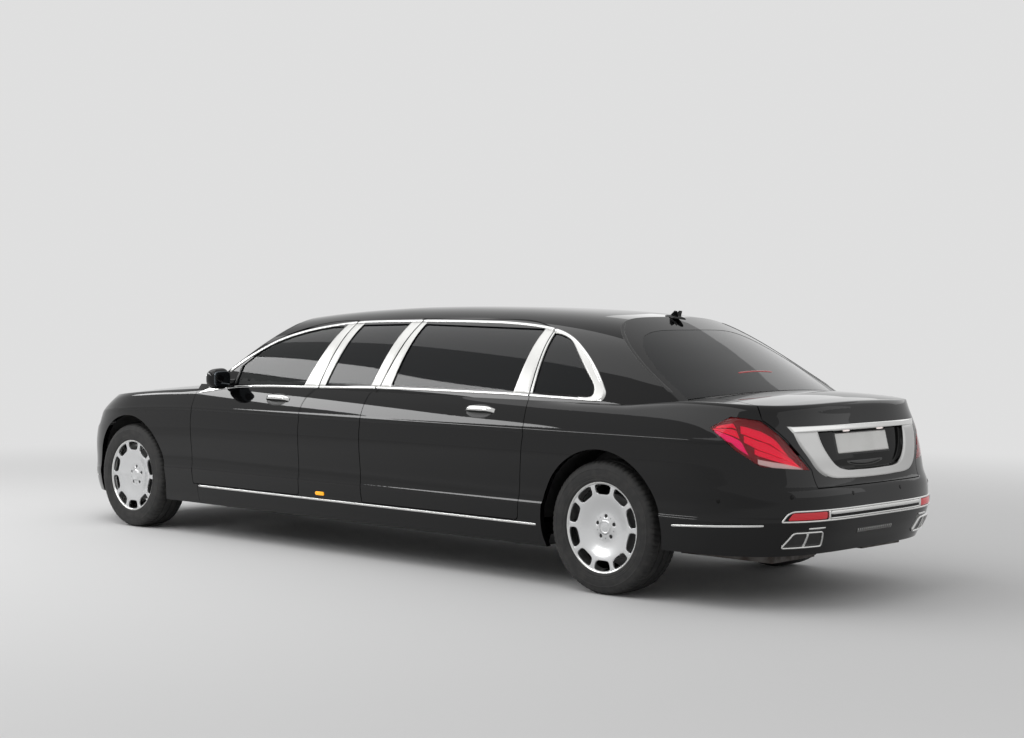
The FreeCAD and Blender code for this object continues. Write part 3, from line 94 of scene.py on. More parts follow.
def smooth(table: Table, at: Array) -> Array:
    """Smooth curve without overshoot through the pairs of a table in millimetres: a cubic between each two
    stations whose end slopes are the harmonic mean of the neighbouring slopes.

    Args:
        table: pairs of station and value, in millimetres.
        at: stations in metres.

    Returns:
        Values in metres.
    """
    knots, values = np.array(table, float).T * MM
    steps = np.diff(knots)
    slopes = np.diff(values) / steps
    ahead = 2 * steps[1:] + steps[:-1]
    behind = steps[1:] + 2 * steps[:-1]
    same = slopes[:-1] * slopes[1:] > 0
    left = np.where(same, slopes[:-1], 1.0)
    right = np.where(same, slopes[1:], 1.0)
    inner = np.where(same, (ahead + behind) / (ahead / left + behind / right), 0.0)
    tangents = np.concatenate([slopes[:1], inner, slopes[-1:]])
    x = np.clip(at, knots[0], knots[-1])
    i = np.clip(np.searchsorted(knots, x, side="right") - 1, 0, len(steps) - 1)
    s = (x - knots[i]) / steps[i]
    return ((1 + 2 * s) * (1 - s) ** 2 * values[i] + s * (1 - s) ** 2 * steps[i] * tangents[i]
            + s * s * (3 - 2 * s) * values[i + 1] + s * s * (s - 1) * steps[i] * tangents[i + 1])


@dataclass(frozen=True)
class BodyForm:
    """The outer surfaces of the body as formulas, from the same lines as the solids."""

    half_width: float = 0.9495
    end_x: float = 3.2495
    starts: Pair = (2.25, 2.30)
    powers: Pair = (3.0, 3.8)
    cabin_power: float = 5.0
    cabin_base: float = 1.0
    roof_crown: float = 0.028
    deck_crown: float = 0.028
    roof_half: float = 0.75
    deck_half: float = 0.70
    height: float = 1.598
    line_sink: float = 0.105
    line_run: Pair = (1.5, 3.15)
    side_line: Table = ((150, 71), (225, 49), (300, 28), (380, 17), (440, 11), (468, 9), (490, 16), (540, 17),
                        (620, 10), (700, 3), (770, 0), (830, 3), (868, 8), (886, 6), (905, 13), (940, 27),
                        (1000, 56), (1052, 88), (1085, 110), (1130, 149), (1180, 209))
    tail_line: Table = ((150, 140), (250, 100), (330, 60), (420, 18), (500, 0), (580, 4), (625, 14),
                        (660, 36), (720, 54), (800, 70), (880, 90), (960, 108), (1020, 122), (1077, 128),
                        (1180, 190))
    nose_line: Table = ((150, 130), (220, 60), (320, 15), (450, 0), (560, 4), (640, 25), (720, 60),
                        (800, 120), (860, 190), (920, 290), (1000, 450), (1180, 850))
    deck_line: Table = ((-3400, 1040), (-3122, 1077), (-3000, 1097), (-2800, 1116), (-2600, 1122),
                        (-2300, 1103), (-2150, 1091), (0, 1085), (1500, 1066), (1900, 1045), (2200, 1024),
                        (2500, 998), (2800, 958), (3000, 912), (3120, 868), (3250, 800), (3400, 700))
    roof_line: Table = ((-3000, 398), (-2600, 253), (-2300, 158), (-2100, 108), (-1900, 71), (-1600, 38),
                        (-1250, 17), (-900, 5), (-450, 0), (-100, 3), (330, 19), (690, 42), (1000, 72),
                        (1300, 114), (1700, 188), (2200, 298))
    cabin_line: Table = ((950, 886), (1000, 875), (1052, 860), (1080, 851), (1200, 803), (1350, 737),
                         (1490, 675), (1600, 640))
    screen_line: Table = ((950, 1990), (1020, 1900), (1100, 1765), (1200, 1590), (1300, 1410), (1400, 1222),
                          (1500, 1030), (1560, 915), (1640, 750))
    backlight_line: Table = ((1000, -2830), (1100, -2660), (1130, -2607), (1200, -2480), (1300, -2300),
                             (1400, -2115), (1500, -1915), (1560, -1780), (1640, -1600))

    def sink(self, x: Array) -> Array:
        """How far the sides' character lines have sunk at a station, towards the nose."""
        start, stop = self.line_run
        return self.line_sink * np.clip((x - start) / (stop - start), 0, 1) ** 1.8

    def side(self, x: Array, z: Array) -> Array:
        """Half width of the lower body."""
        return self.half_width - smooth(self.side_line, z + self.sink(x))

    def reach(self, end: End, z: Array) -> Array:
        """Distance of one end from the middle of the car on the centreline."""
        return self.end_x - smooth(self.tail_line if end is End.TAIL else self.nose_line, z)

    def plan(self, x: Array, z: Array) -> tuple[Array, Array, Array]:
        """Start, power and tip of the plan's superellipse at the end where each station lies."""
        nose = x > 0
        start = np.where(nose, self.starts[0], self.starts[1])
        power = np.where(nose, self.powers[0], self.powers[1])
        return start, power, np.where(nose, self.reach(End.NOSE, z), self.reach(End.TAIL, z))

    def by_offset(self, end: End, y: Array, z: Array, inset: float = 0.0) -> Array:
        """Point of the nose or tail at a distance y from the centreline."""
        x = end.value * self.reach(end, z)
        start, power, tip = self.plan(x, z)
        for _ in range(4):
            share = np.clip(np.abs(y) / (self.side(x, z) - inset), 0, 1)
            along = (1 - share ** power) ** (1 / power)
            x = end.value * (start + (tip - inset - start) * along)
        return np.stack([x, y + 0 * x, z + 0 * x], -1)

    def by_station(self, x: Array, z: Array, inset: float = 0.0) -> Array:
        """Point of the left lower side at a station x, round the corners too."""
        start, power, tip = self.plan(x, z)
        share = np.clip((np.abs(x) - start) / (tip - inset - start), 0, 1)
        across = (1 - share ** power) ** (1 / power)
        return np.stack([x + 0 * z, (self.side(x, z) - inset) * across, z + 0 * x], -1)

    def deck(self, x: Array, y: Array) -> Array:
        """Height of the bonnet, waist and boot deck."""
        return smooth(self.deck_line, x) - self.deck_crown * (y / self.deck_half) ** 2

    def cabin_top(self, x: Array, y: Array) -> Array:
        """Height over the cabin's base that the roof would reach without its rounded sides."""
        crown = self.roof_crown * (y / self.roof_half) ** 2
        return self.height - smooth(self.roof_line, x) - crown - self.cabin_base

    def cabin_half(self, x: Array, z: Array) -> Array:
        """Half width of the cabin's flat side."""
        half = smooth(self.cabin_line, z)
        half = half - 0.075 * (np.clip(-1.5 - x, 0, None) / 1.1) ** 2
        return half - 0.010 * (np.clip(x - 1.2, 0, None) / 0.7) ** 2

    def cabin(self, x: Array, z: Array) -> Array:
        """Point of the cabin's left side at a station and height."""
        y = self.cabin_half(x, z)
        for _ in range(6):
            rise = np.clip((z - self.cabin_base) / self.cabin_top(x, y), 0, 1)
            y = self.cabin_half(x, z) * (1 - rise ** self.cabin_power) ** (1 / self.cabin_power)
        return np.stack([x + 0 * y, y, z + 0 * y], -1)

    def roof(self, x: Array, y: Array) -> Array:
        """Height of the roof."""
        top = self.cabin_top(x, y)
        share = np.clip(np.abs(y) / self.cabin_half(x, self.cabin_base + top), 0, 1)
        return self.cabin_base + top * (1 - share ** self.cabin_power) ** (1 / self.cabin_power)

    def screen(self, y: Array, z: Array) -> Array:
        """Station of the windscreen's outer face."""
        return smooth(self.screen_line, z) - 0.262 * (np.abs(y) / self.roof_half) ** 2.2

    def backlight(self, y: Array, z: Array) -> Array:
        """Station of the rear window's outer face."""
        return smooth(self.backlight_line, z) + 0.115 * (np.abs(y) / 0.62) ** 2.2

    def lower_field(self, p: Array) -> Array:
        """Below zero inside the lower body's plan outline, above zero outside."""
        x, y, z = p.T
        start, power, tip = self.plan(x, z)
        along = np.clip(np.abs(x) - start, 0, None) / (tip - start)
        return (along ** power + (np.abs(y) / self.side(x, z)) ** power) ** (1 / power) - 1

    def deck_field(self, p: Array) -> Array:
        """Below zero under the deck."""
        return p[:, 2] - self.deck(p[:, 0], p[:, 1])

    def cabin_field(self, p: Array) -> Array:
        """Below zero inside the cabin's cross-section."""
        x, y, z = p.T
        rise = np.clip(z - self.cabin_base, 0, None) / self.cabin_top(x, y)
        share = np.abs(y) / self.cabin_half(x, z)
        return (rise ** self.cabin_power + share ** self.cabin_power) ** (1 / self.cabin_power) - 1

    def screen_field(self, p: Array) -> Array:
        """Below zero behind the windscreen's face."""
        return p[:, 0] - self.screen(p[:, 1], p[:, 2])

    def backlight_field(self, p: Array) -> Array:
        """Below zero ahead of the rear window's face."""
        return self.backlight(p[:, 1], p[:, 2]) - p[:, 0]


FORM = BodyForm()
FIELD_STEP = 4e-4
HANDLE_Z = 0.982
RECESS_DEPTH = 0.026
RECESS = ((0.942, 0.440), (0.870, 0.424), (0.806, 0.388), (0.750, 0.332), (0.727, 0.262), (0.712, 0.130))


def gradient(field_of: Callable[[Array], Array], p: Array) -> tuple[Array, Array]:
    """Distance to the zero surface of a field and its outward unit direction, by central differences."""
    slope = np.stack([(field_of(p + axis) - field_of(p - axis)) / (2 * FIELD_STEP)
                      for axis in FIELD_STEP * np.eye(3)], -1)
    size = np.linalg.norm(slope, axis=1, keepdims=True) + 1e-12
    return field_of(p) / size[:, 0], slope / size


def unit(v: Array) -> Array:
    """Vectors scaled to length one."""
    return v / (np.linalg.norm(v, axis=-1, keepdims=True) + 1e-12)


class Value:
    """A shader socket that number expressions can be written with."""

    def __init__(self, shader: "Shader", socket: bpy.types.NodeSocket) -> None:
        """Keeps the socket and the shader that owns it."""
        self.shader = shader
        self.socket = socket

    def __add__(self, other: "Number") -> "Value":
        """Sum."""
        return self.shader.math("ADD", self, other)

    __radd__ = __add__

    def __sub__(self, other: "Number") -> "Value":
        """Difference."""
        return self.shader.math("SUBTRACT", self, other)

    def __mul__(self, other: "Number") -> "Value":
        """Product."""
        return self.shader.math("MULTIPLY", self, other)

    __rmul__ = __mul__

    def wave(self) -> "Value":
        """Sine, from 0 to 1."""
        return self.shader.math("SINE", self, 0.0) * 0.5 + 0.5

    def step(self, low: float, high: float) -> "Value":
        """Rises smoothly from 0 at low to 1 at high."""
        return self.shader.value("ShaderNodeMapRange", {0: self, 1: low, 2: high},
                                 {"interpolation_type": "SMOOTHSTEP"})


Number = Union[float, Value]


class Shader:
    """Builds one node material round a Principled shader."""

    def __init__(self, name: str) -> None:
        """Starts a material of a name."""
        self.material = bpy.data.materials.new(name)
        self.material.use_nodes = True
        self.tree = self.material.node_tree
        self.main = next(n for n in self.tree.nodes if n.type == "BSDF_PRINCIPLED")
        self.place = self.node("ShaderNodeTexCoord").outputs["Object"]

    def node(self, kind: str, values: Optional[dict] = None,
             settings: Optional[dict] = None) -> bpy.types.Node:
        """A node of any type.

        Args:
            kind: the node's type.
            values: values or links of its sockets.
            settings: its settings, set first.

        Returns:
            The node.
        """
        made = self.tree.nodes.new(kind)
        for key, value in (settings or {}).items():
            setattr(made, key, value)
        for key, value in (values or {}).items():
            self.feed(made.inputs[key], value)
        return made

    def value(self, kind: str, values: dict, settings: Optional[dict] = None,
              output: Union[int, str] = 0) -> Value:
        """One output of a new node."""
        return Value(self, self.node(kind, values, settings).outputs[output])

    def feed(self, socket: bpy.types.NodeSocket, value: object) -> None:
        """Links or sets one socket."""
        if isinstance(value, Value):
            value = value.socket
        if isinstance(value, bpy.types.NodeSocket):
            self.tree.links.new(value, socket)
        elif isinstance(value, tuple) and socket.type == "RGBA":
            socket.default_value = (*value, 1.0)
        else:
            socket.default_value = value

    def set(self, name: str, value: object) -> None:
        """Sets or links a socket of the main shader."""
        self.feed(self.main.inputs[name], value)

    def math(self, operation: str, first: Number, second: Number) -> Value:
        """A Math node."""
        return self.value("ShaderNodeMath", {0: first, 1: second}, {"operation": operation})

    def axis(self, name: str) -> Value:
        """One of the object's own coordinates, in metres."""
        return self.value("ShaderNodeSeparateXYZ", {0: self.place}, output=name)

    def noise(self, scale: float, detail: float = 2.0, stretch: Optional[Colour] = None) -> Value:
        """Noise in object space, from 0 to 1.

        Args:
            scale: cells per metre.
            detail: finer layers.
            stretch: factors along the axes, small along a grain.

        Returns:
            The noise.
        """
        place = self.place
        if stretch:
            place = self.value("ShaderNodeVectorMath", {0: place, 1: stretch}, {"operation": "MULTIPLY"})
        return self.value("ShaderNodeTexNoise", {"Vector": place, "Scale": scale, "Detail": detail})

    def cells(self, scale: float) -> Value:
        """Distance to the nearest of scattered points."""
        return self.value("ShaderNodeTexVoronoi", {"Vector": self.place, "Scale": scale})

    def blend(self, share: Number, first: Colour, second: Colour) -> Value:
        """Colour mixed from two colours."""
        return self.value("ShaderNodeMix", {0: share, 6: first, 7: second}, {"data_type": "RGBA"}, 2)

    def bump(self, height: Value, strength: float, distance: float) -> None:
        """Feeds the main shader's normal from a height."""
        values = {"Height": height, "Strength": strength, "Distance": distance}
        self.set("Normal", self.value("ShaderNodeBump", values))

    def grazing(self) -> Value:
        """Share of light that a pane throws back, for glass."""
        return self.value("ShaderNodeFresnel", {"IOR": 1.5})


@dataclass(frozen=True)
class Finish:
    """One finish of the car."""

    name: str
    slot: str
    colour: Colour
    roughness: float
    metallic: float = 0.0
    coat: float = 0.0

    def material(self) -> bpy.types.Material:
        """The finish's material, made once."""
        found = bpy.data.materials.get(self.name)
        if found:
            return found
        shader = Shader(self.name)
        shader.set("Base Color", self.colour)
        shader.set("Roughness", self.roughness)
        shader.set("Metallic", self.metallic)
        shader.set("Coat Weight", self.coat)
        shader.set("Coat Roughness", 0.015)
        self.detail(shader)
        return shader.material

    def detail(self, shader: Shader) -> None:
        """Adds what the finish shows from close by."""


@dataclass(frozen=True)
class Paint(Finish):
    """Lacquered paint: roughness varies with a thin dust, the clear coat has a faint ripple."""

    ripple: float = 0.01

    def detail(self, shader: Shader) -> None:
        """Dust and ripple; only the lacquer mirrors its surroundings."""
        shader.set("Specular IOR Level", 0.0)
        shader.set("Coat IOR", 1.4)
        dust = shader.noise(9.0, 5.0)
        shader.set("Roughness", dust * 0.1 + self.roughness - 0.05)
        shader.bump(shader.noise(240.0, 1.0), self.ripple, 0.0006)


@dataclass(frozen=True)
class Metal(Finish):
    """Polished or brushed metal: roughness and bump follow a grain stretched along one way."""

    grain: float = 60.0
    along: Colour = (1.0, 1.0, 9.0)
    depth: float = 0.015
    spread: float = 0.08

    def detail(self, shader: Shader) -> None:
        """Grain."""
        grain = shader.noise(self.grain, 3.0, self.along)
        shader.set("Roughness", grain * self.spread + self.roughness - self.spread / 2)
        shader.bump(grain, self.depth, 0.0004)


@dataclass(frozen=True)
class Grained(Finish):
    """Moulded plastic, rubber or hide: small cells raised on the surface, shade varying with wear."""

    cell: float = 1400.0
    depth: float = 0.12
    worn: Colour = (0.02, 0.02, 0.02)

    def detail(self, shader: Shader) -> None:
        """Cells and wear."""
        cells = shader.cells(self.cell)
        wear = shader.noise(7.0, 5.0)
        shader.set("Base Color", shader.blend(wear.step(0.4, 0.75), self.colour, self.worn))
        shader.set("Roughness", wear * 0.16 + self.roughness - 0.08)
        shader.bump(cells, self.depth, 0.0006)


@dataclass(frozen=True)
class Pane(Finish):
    """Window glass: covers what is behind it by a share, and more at a grazing view."""

    cover: float = 0.8

    def detail(self, shader: Shader) -> None:
        """Cover and faint film."""
        shader.set("Specular IOR Level", 0.3)
        shader.set("Roughness", shader.noise(3.0, 3.0) * 0.03 + self.roughness)
        shader.set("Alpha", shader.grazing() * (1.6 * (1.0 - self.cover)) + self.cover)


@dataclass(frozen=True)
class Glow(Finish):
    """Lit lamp part, and the painted glow of the red reflectors, which are no lamps: its own light runs
    between two colours in fine prisms.
    """

    light: Colour = (1.0, 1.0, 1.0)
    strength: float = 0.5
    prism: float = 1800.0
    across: str = "Z"

    def detail(self, shader: Shader) -> None:
        """Prisms."""
        wave = (shader.axis(self.across) * self.prism).wave()
        shader.set("Emission Color", shader.blend(wave, self.colour, self.light))
        shader.set("Emission Strength", self.strength)
        shader.bump(wave, 0.15, 0.0005)


@dataclass(frozen=True)
class Rough(Finish):
    """Coated, cast or heat-stained metal, pile or rubber: colour and bump follow a noise."""

    other: Colour = (0.2, 0.2, 0.2)
    grit: float = 60.0
    depth: float = 0.3

    def detail(self, shader: Shader) -> None:
        """Stains and grit."""
        stain = shader.noise(self.grit, 6.0)
        shader.set("Base Color", shader.blend(stain.step(0.35, 0.7), self.colour, self.other))
        shader.set("Roughness", stain * 0.2 + self.roughness - 0.1)
        shader.bump(stain, self.depth, 0.001)


PAINT = Paint("gloss_black_paint", "black_paint", (0.0022, 0.0022, 0.0025), 0.22, coat=1.0)
BRIGHT = Metal("polished_trim", "bright_metal", (0.70, 0.70, 0.69), 0.14, 1.0)
SATIN = Metal("satin_plate", "bright_metal", (0.52, 0.52, 0.508), 0.38, 1.0,
              grain=220.0, along=(1.0, 1.0, 0.05), depth=0.05, spread=0.14)
# Silver band of the boot lid: painted reflection, standing in for the light that the black paint round the
# number plate reflects.
SILVER_PAINTED_REFLECTION = Metal("silver_lacquer", "bright_metal", (0.46, 0.46, 0.455), 0.30, 1.0, coat=0.2,
               grain=90.0, along=(1.0, 0.3, 1.0), depth=0.008, spread=0.06)
ALLOY = Metal("wheel_silver_lacquer", "wheel_silver", (0.70, 0.705, 0.71), 0.26, 0.9, coat=0.5,
              grain=700.0, along=(1.0, 1.0, 1.0), depth=0.02, spread=0.1)
RUBBER = Rough("tyre_rubber", "tyre", (0.014, 0.014, 0.014), 0.72,
               other=(0.03, 0.029, 0.028), grit=22.0, depth=0.1)
PLASTIC = Grained("grained_black_plastic", "black_plastic", (0.011, 0.011, 0.011), 0.5)
GLOSS_BLACK = Paint("gloss_black_plastic", "black_plastic", (0.006, 0.006, 0.006), 0.12, coat=0.5)
SEAL = Grained("window_seal", "black_plastic", (0.008, 0.008, 0.008), 0.4, cell=900.0, depth=0.04)
DARK_PANE = Pane("privacy_glass", "tinted_glass", (0.004, 0.005, 0.006), 0.012, cover=0.88)
LIGHT_PANE = Pane("light_glass", "clear_glass", (0.010, 0.012, 0.012), 0.012, cover=0.8)
RED_PANE = Pane("red_lens", "lamp_red", (0.42, 0.004, 0.010), 0.02, coat=1.0, cover=0.22)
CLEAR_PANE = Pane("clear_lens", "lamp_clear", (0.4, 0.42, 0.44), 0.01, coat=1.0, cover=0.12)
MIRROR = Metal("mirror_glass", "tinted_glass", (0.10, 0.11, 0.12), 0.02, 1.0, spread=0.01)
RED_GUIDE = Glow("red_light_guide", "lamp_red", (0.70, 0.004, 0.030), 0.3,
                 light=(1.0, 0.012, 0.07), strength=0.95)
PINK_GUIDE = Glow("pink_light_guide", "lamp_red", (0.80, 0.004, 0.10), 0.3,
                  light=(1.0, 0.010, 0.20), strength=0.95)
RED_DEEP = Glow("red_lamp_back", "lamp_red", (0.10, 0.002, 0.006), 0.35,
                light=(0.16, 0.003, 0.010), strength=0.2, prism=500.0, across="Y")
BRAKE_RED = Glow("unlit_brake_light", "lamp_red", (0.20, 0.006, 0.006), 0.25,
                 light=(0.32, 0.010, 0.010), strength=0.5, prism=700.0, across="Y")
# The red reflectors are no lamps: their emission is painted glow, standing in for the light they throw back.
REFLECTOR_PAINTED_GLOW = Glow("red_reflector", "lamp_red", (0.40, 0.010, 0.014), 0.15,
                 light=(0.85, 0.05, 0.08), strength=0.3, prism=900.0)
PALE_GUIDE = Glow("pale_light_guide", "lamp_clear", (0.80, 0.70, 0.68), 0.2,
                  light=(1.0, 0.92, 0.9), strength=0.5)
AMBER = Glow("amber_marker", "lamp_red", (0.85, 0.30, 0.005), 0.15,
             light=(1.0, 0.55, 0.03), strength=0.7, prism=1500.0)
HIDE = Grained("cabin_leather", "leather", (0.10, 0.078, 0.062), 0.45,
               cell=420.0, depth=0.3, worn=(0.15, 0.12, 0.098))
DASH_HIDE = Grained("dash_leather", "dash", (0.018, 0.017, 0.017), 0.5,
                    cell=520.0, depth=0.3, worn=(0.026, 0.025, 0.025))
COATED = Rough("coated_structure", "structure", (0.022, 0.022, 0.024), 0.55,
               other=(0.04, 0.039, 0.038), grit=30.0, depth=0.15)
CAST = Rough("cast_metal", "cast_metal", (0.09, 0.09, 0.09), 0.6, 0.8,
             other=(0.24, 0.235, 0.23), grit=120.0, depth=0.4)
PIPE = Rough("exhaust_steel", "steel", (0.11, 0.105, 0.10), 0.5, 0.9,
             other=(0.05, 0.04, 0.035), grit=12.0, depth=0.1)
BLANK = Grained("blank_plate", "black_plastic", (0.80, 0.80, 0.78), 0.35,
                cell=1800.0, depth=0.03, worn=(0.74, 0.74, 0.72))


def fresh_mesh(name: str, points: Array, faces: Iterable) -> bpy.types.Mesh:
    """A closed mesh from points and lists of vertex numbers, with its doubles merged and its faces turned
    outwards."""
    mesh = bpy.data.meshes.new(name)
    mesh.from_pydata(np.asarray(points, float).reshape(-1, 3), [], [list(map(int, f)) for f in faces])
    form = bmesh.new()
    form.from_mesh(mesh)
    bmesh.ops.remove_doubles(form, verts=form.verts, dist=1e-6)
    bmesh.ops.dissolve_degenerate(form, edges=form.edges, dist=1e-6)
    bmesh.ops.recalc_face_normals(form, faces=form.faces)
    form.to_mesh(mesh)
    form.free()
    return mesh


def add(name: str, mesh: bpy.types.Mesh, finish: Finish, body: str = "root", replaces: Sequence[str] = (),
        sharp: float = 38.0) -> bpy.types.Object:
    """Links a mesh as a piece that rides on a body.

    Args:
        name: piece name.
        mesh: its mesh, already in place.
        finish: what it is made of.
        body: body it rides on.
        replaces: nodes it stands for.
        sharp: angle in degrees above which an edge stays sharp.

    Returns:
        The piece.
    """
    piece = bpy.data.objects.new(name, mesh)
    bpy.context.scene.collection.objects.link(piece)
    mesh.materials.append(finish.material())
    if sharp:
        mesh.shade_smooth()
        mesh.set_sharp_from_angle(angle=math.radians(sharp))
    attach(piece, body)
    if replaces:
        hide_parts(*replaces)
    LOG.info("%s: %d faces on %s", name, len(mesh.polygons), body)
    return piece


def made(name: str, shape: tuple[Array, Sequence], finish: Finish, body: str = "root",
         replaces: Sequence[str] = ()) -> bpy.types.Object:
    """Adds a piece from its points and faces."""
    return add(name, fresh_mesh(name, *shape), finish, body, replaces)


def joined(shapes: Sequence[tuple[Array, Sequence]]) -> tuple[Array, list]:
    """Points and faces of several closed shapes as one."""
    points, faces, start = [], [], 0
    for shape_points, shape_faces in shapes:
        shape_points = np.asarray(shape_points).reshape(-1, 3)
        points.append(shape_points)
        faces += [[int(v) + start for v in face] for face in shape_faces]
        start += len(shape_points)
    return np.concatenate(points), faces


def mirrored(points: Array, side: Side) -> Array:
    """Points of the left side, or their mirror image."""
    return points * np.array([1.0, side.value, 1.0])


def grid_faces(rows: int, columns: int, wrap_rows: bool = False, wrap_columns: bool = False) -> Array:
    """Quads of a grid whose point (i, j) has the number i * columns + j."""
    i = np.arange(rows if wrap_rows else rows - 1)[:, None]
    j = np.arange(columns if wrap_columns else columns - 1)[None, :]
    down, across = (i + 1) % rows, (j + 1) % columns
    return np.stack([i * columns + j, down * columns + j, down * columns + across, i * columns + across],
                    -1).reshape(-1, 4)


def tangents(path: Array, closed: bool = False) -> Array:
    """Unit direction along a path at each of its points."""
    if closed:
        return unit(np.roll(path, -1, 0) - np.roll(path, 1, 0))
    return unit(np.gradient(path, axis=0))


def sweep(path: Array, normals: Array, profile: Array, closed: bool = False,
          scale: Optional[Array] = None) -> tuple[Array, list]:
    """Closed cross-section carried along a path: each profile point (b, n) lies b across the path in the
    surface and n along its normal. Open ends are closed by a flat face.

    Args:
        path: points on the surface.
        normals: outward unit normals at the points.
        profile: closed outline as (across, outward) pairs, anticlockwise seen along the path.
        closed: whether the path is a loop.
        scale: size of the cross-section along the path.

    Returns:
        Points and faces.
    """
    along = tangents(path, closed)
    across = unit(np.cross(normals, along))
    scale = np.ones(len(path)) if scale is None else scale
    points = (path[:, None] + across[:, None] * profile[None, :, :1] * scale[:, None, None]
              + normals[:, None] * profile[None, :, 1:] * scale[:, None, None])
    rows, columns = points.shape[:2]
    faces = list(grid_faces(rows, columns, closed, True))
    if not closed:
        faces += [list(range(columns)), list(range((rows - 1) * columns, rows * columns))[::-1]]
    return points.reshape(-1, 3), faces


def lens_profile(width: float, height: float, power: float = 2.6, sink: float = 0.003,
                 count: int = 14) -> Array:
    """Cross-section of a trim strip: a flattened superellipse arch over a flat back that sinks a little."""
    angle = np.linspace(0, math.pi, count)
    c, s = np.cos(angle), np.sin(angle)
    arch = np.stack([np.sign(c) * np.abs(c) ** (2 / power) * width / 2, s ** (2 / power) * height], -1)
    return np.concatenate([arch, [[-width / 2, -sink], [width / 2, -sink]]])


def spline(points: Sequence, count: int) -> Array:
    """Evenly spread points on a smooth curve through a few: centripetal Catmull-Rom, resampled by length."""
    p = np.asarray(points, float)
    p = np.concatenate([[2 * p[0] - p[1]], p, [2 * p[-1] - p[-2]]])
    knots = np.concatenate([[0], np.cumsum(np.sqrt(np.linalg.norm(np.diff(p, axis=0), axis=1)) + 1e-9)])
    out = []
    for i in range(1, len(p) - 2):
        t = np.linspace(knots[i], knots[i + 1], 24, endpoint=False)[:, None]
        a, b, c, d = knots[i - 1:i + 3]
        p1 = (b - t) / (b - a) * p[i - 1] + (t - a) / (b - a) * p[i]
        p2 = (c - t) / (c - b) * p[i] + (t - b) / (c - b) * p[i + 1]
        p3 = (d - t) / (d - c) * p[i + 1] + (t - c) / (d - c) * p[i + 2]
        q1 = (c - t) / (c - a) * p1 + (t - a) / (c - a) * p2
        q2 = (d - t) / (d - b) * p2 + (t - b) / (d - b) * p3
        out.append((c - t) / (c - b) * q1 + (t - b) / (c - b) * q2)
    fine = np.concatenate(out + [p[-2:-1]])
    length = np.concatenate([[0], np.cumsum(np.linalg.norm(np.diff(fine, axis=0), axis=1))])
    at = np.linspace(0, length[-1], count)
    return np.stack([np.interp(at, length, column) for column in fine.T], -1)


def outline(corners: Sequence[Pair], radii: Sequence[float], per_edge: int = 10, per_arc: int = 8) -> Array:
    """Closed outline through corner points with rounded corners: each corner is a quadratic curve that leaves
    its edges at the radius' reach, each edge a straight run between them.

    Args:
        corners: corner points.
        radii: reach of each corner's rounding along its edges.
        per_edge: points on each edge.
        per_arc: points on each corner.

    Returns:
        Points of the closed outline.
    """
    p = np.asarray(corners, float)
    count = len(p)
    starts, ends = [], []
    for i in range(count):
        before = unit(p[i - 1] - p[i])
        after = unit(p[(i + 1) % count] - p[i])
        starts.append(p[i] + before * radii[i])
        ends.append(p[i] + after * radii[i])
    out = []
    for i in range(count):
        t = np.linspace(0, 1, per_arc, endpoint=False)[:, None]
        out.append((1 - t) ** 2 * starts[i] + 2 * t * (1 - t) * p[i] + t * t * ends[i])
        t = np.linspace(0, 1, per_edge, endpoint=False)[:, None]
        out.append((1 - t) * ends[i] + t * starts[(i + 1) % count])
    return np.concatenate(out)


def plate(surface: tuple[Array, Array], thickness: float, sink: float = 0.004, closed: bool = False,
          power: float = 14.0) -> tuple[Array, list]:
    """Thin plate on a surface: its face stands proud by the thickness and rolls down to its edges, where
    height = thickness * sqrt(1 - |v|^power), v running from -1 to 1 between opposite edges.

    Args:
        surface: rows of points on the surface, and their outward unit normals.
        thickness: height of the face.
        sink: depth of the hidden back.
        closed: whether the rows run round a loop.
        power: sharpness of the rolled edge.

    Returns:
        Points and faces.
    """
    grid, normal = surface
    rows, columns = grid.shape[:2]
    v = np.abs(np.linspace(-1, 1, columns))[None, :]
    u = np.zeros((rows, 1)) if closed else np.abs(np.linspace(-1, 1, rows))[:, None]
    rise = thickness * np.sqrt(np.clip(1 - v ** power, 0, 1) * np.clip(1 - u ** power, 0, 1))
    top = grid + normal * rise[..., None]
    back = grid - normal * sink
    points = np.concatenate([top.reshape(-1, 3), back.reshape(-1, 3)])
    size = rows * columns
    quads = grid_faces(rows, columns, closed)
    i = np.arange(rows if closed else rows - 1)
    edges = [(i * columns + column, (i + 1) % rows * columns + column) for column in (0, columns - 1)]
    if not closed:
        j = np.arange(columns - 1)
        edges += [(row * columns + j, row * columns + j + 1) for row in (0, rows - 1)]
    walls = [np.stack([first, first + size, second + size, second], -1) for first, second in edges]
    return points, list(np.concatenate([quads, quads[:, ::-1] + size] + walls))


def between(first: Array, second: Array, columns: int) -> Array:
    """Grid of points between two curves of equal length."""
    t = np.linspace(0, 1, columns)[None, :, None]
    return first[:, None] * (1 - t) + second[:, None] * t


def both(name: str, shape: tuple[Array, Sequence], finish: Finish, body: str = "root",
         replaces: Sequence[str] = ()) -> None:
    """Adds a left-hand piece and its mirror image; the word left in a body or node name changes with the
    side."""
    for side in Side:
        places = [node.replace("left", side.word) for node in replaces]
        made(f"{name}_{side.word}", (mirrored(shape[0], side), shape[1]), finish,
             body.replace("left", side.word), places)


def revolved(profile: Array, centre: Sequence[float], steps: int) -> tuple[Array, list]:
    """Closed (radius, across) profile turned about an axle along y.

    Args:
        profile: closed outline of pairs (radius, y from the centre).
        centre: centre point of the axle.
        steps: steps round.

    Returns:
        Points and faces.
    """
    turn = np.arange(steps) * 2 * math.pi / steps
    points = np.stack([np.cos(turn)[:, None] * profile[:, 0], profile[:, 1] + 0 * turn[:, None],
                       np.sin(turn)[:, None] * profile[:, 0]], -1) + np.asarray(centre)
    return points.reshape(-1, 3), list(grid_faces(steps, len(profile), True, True))


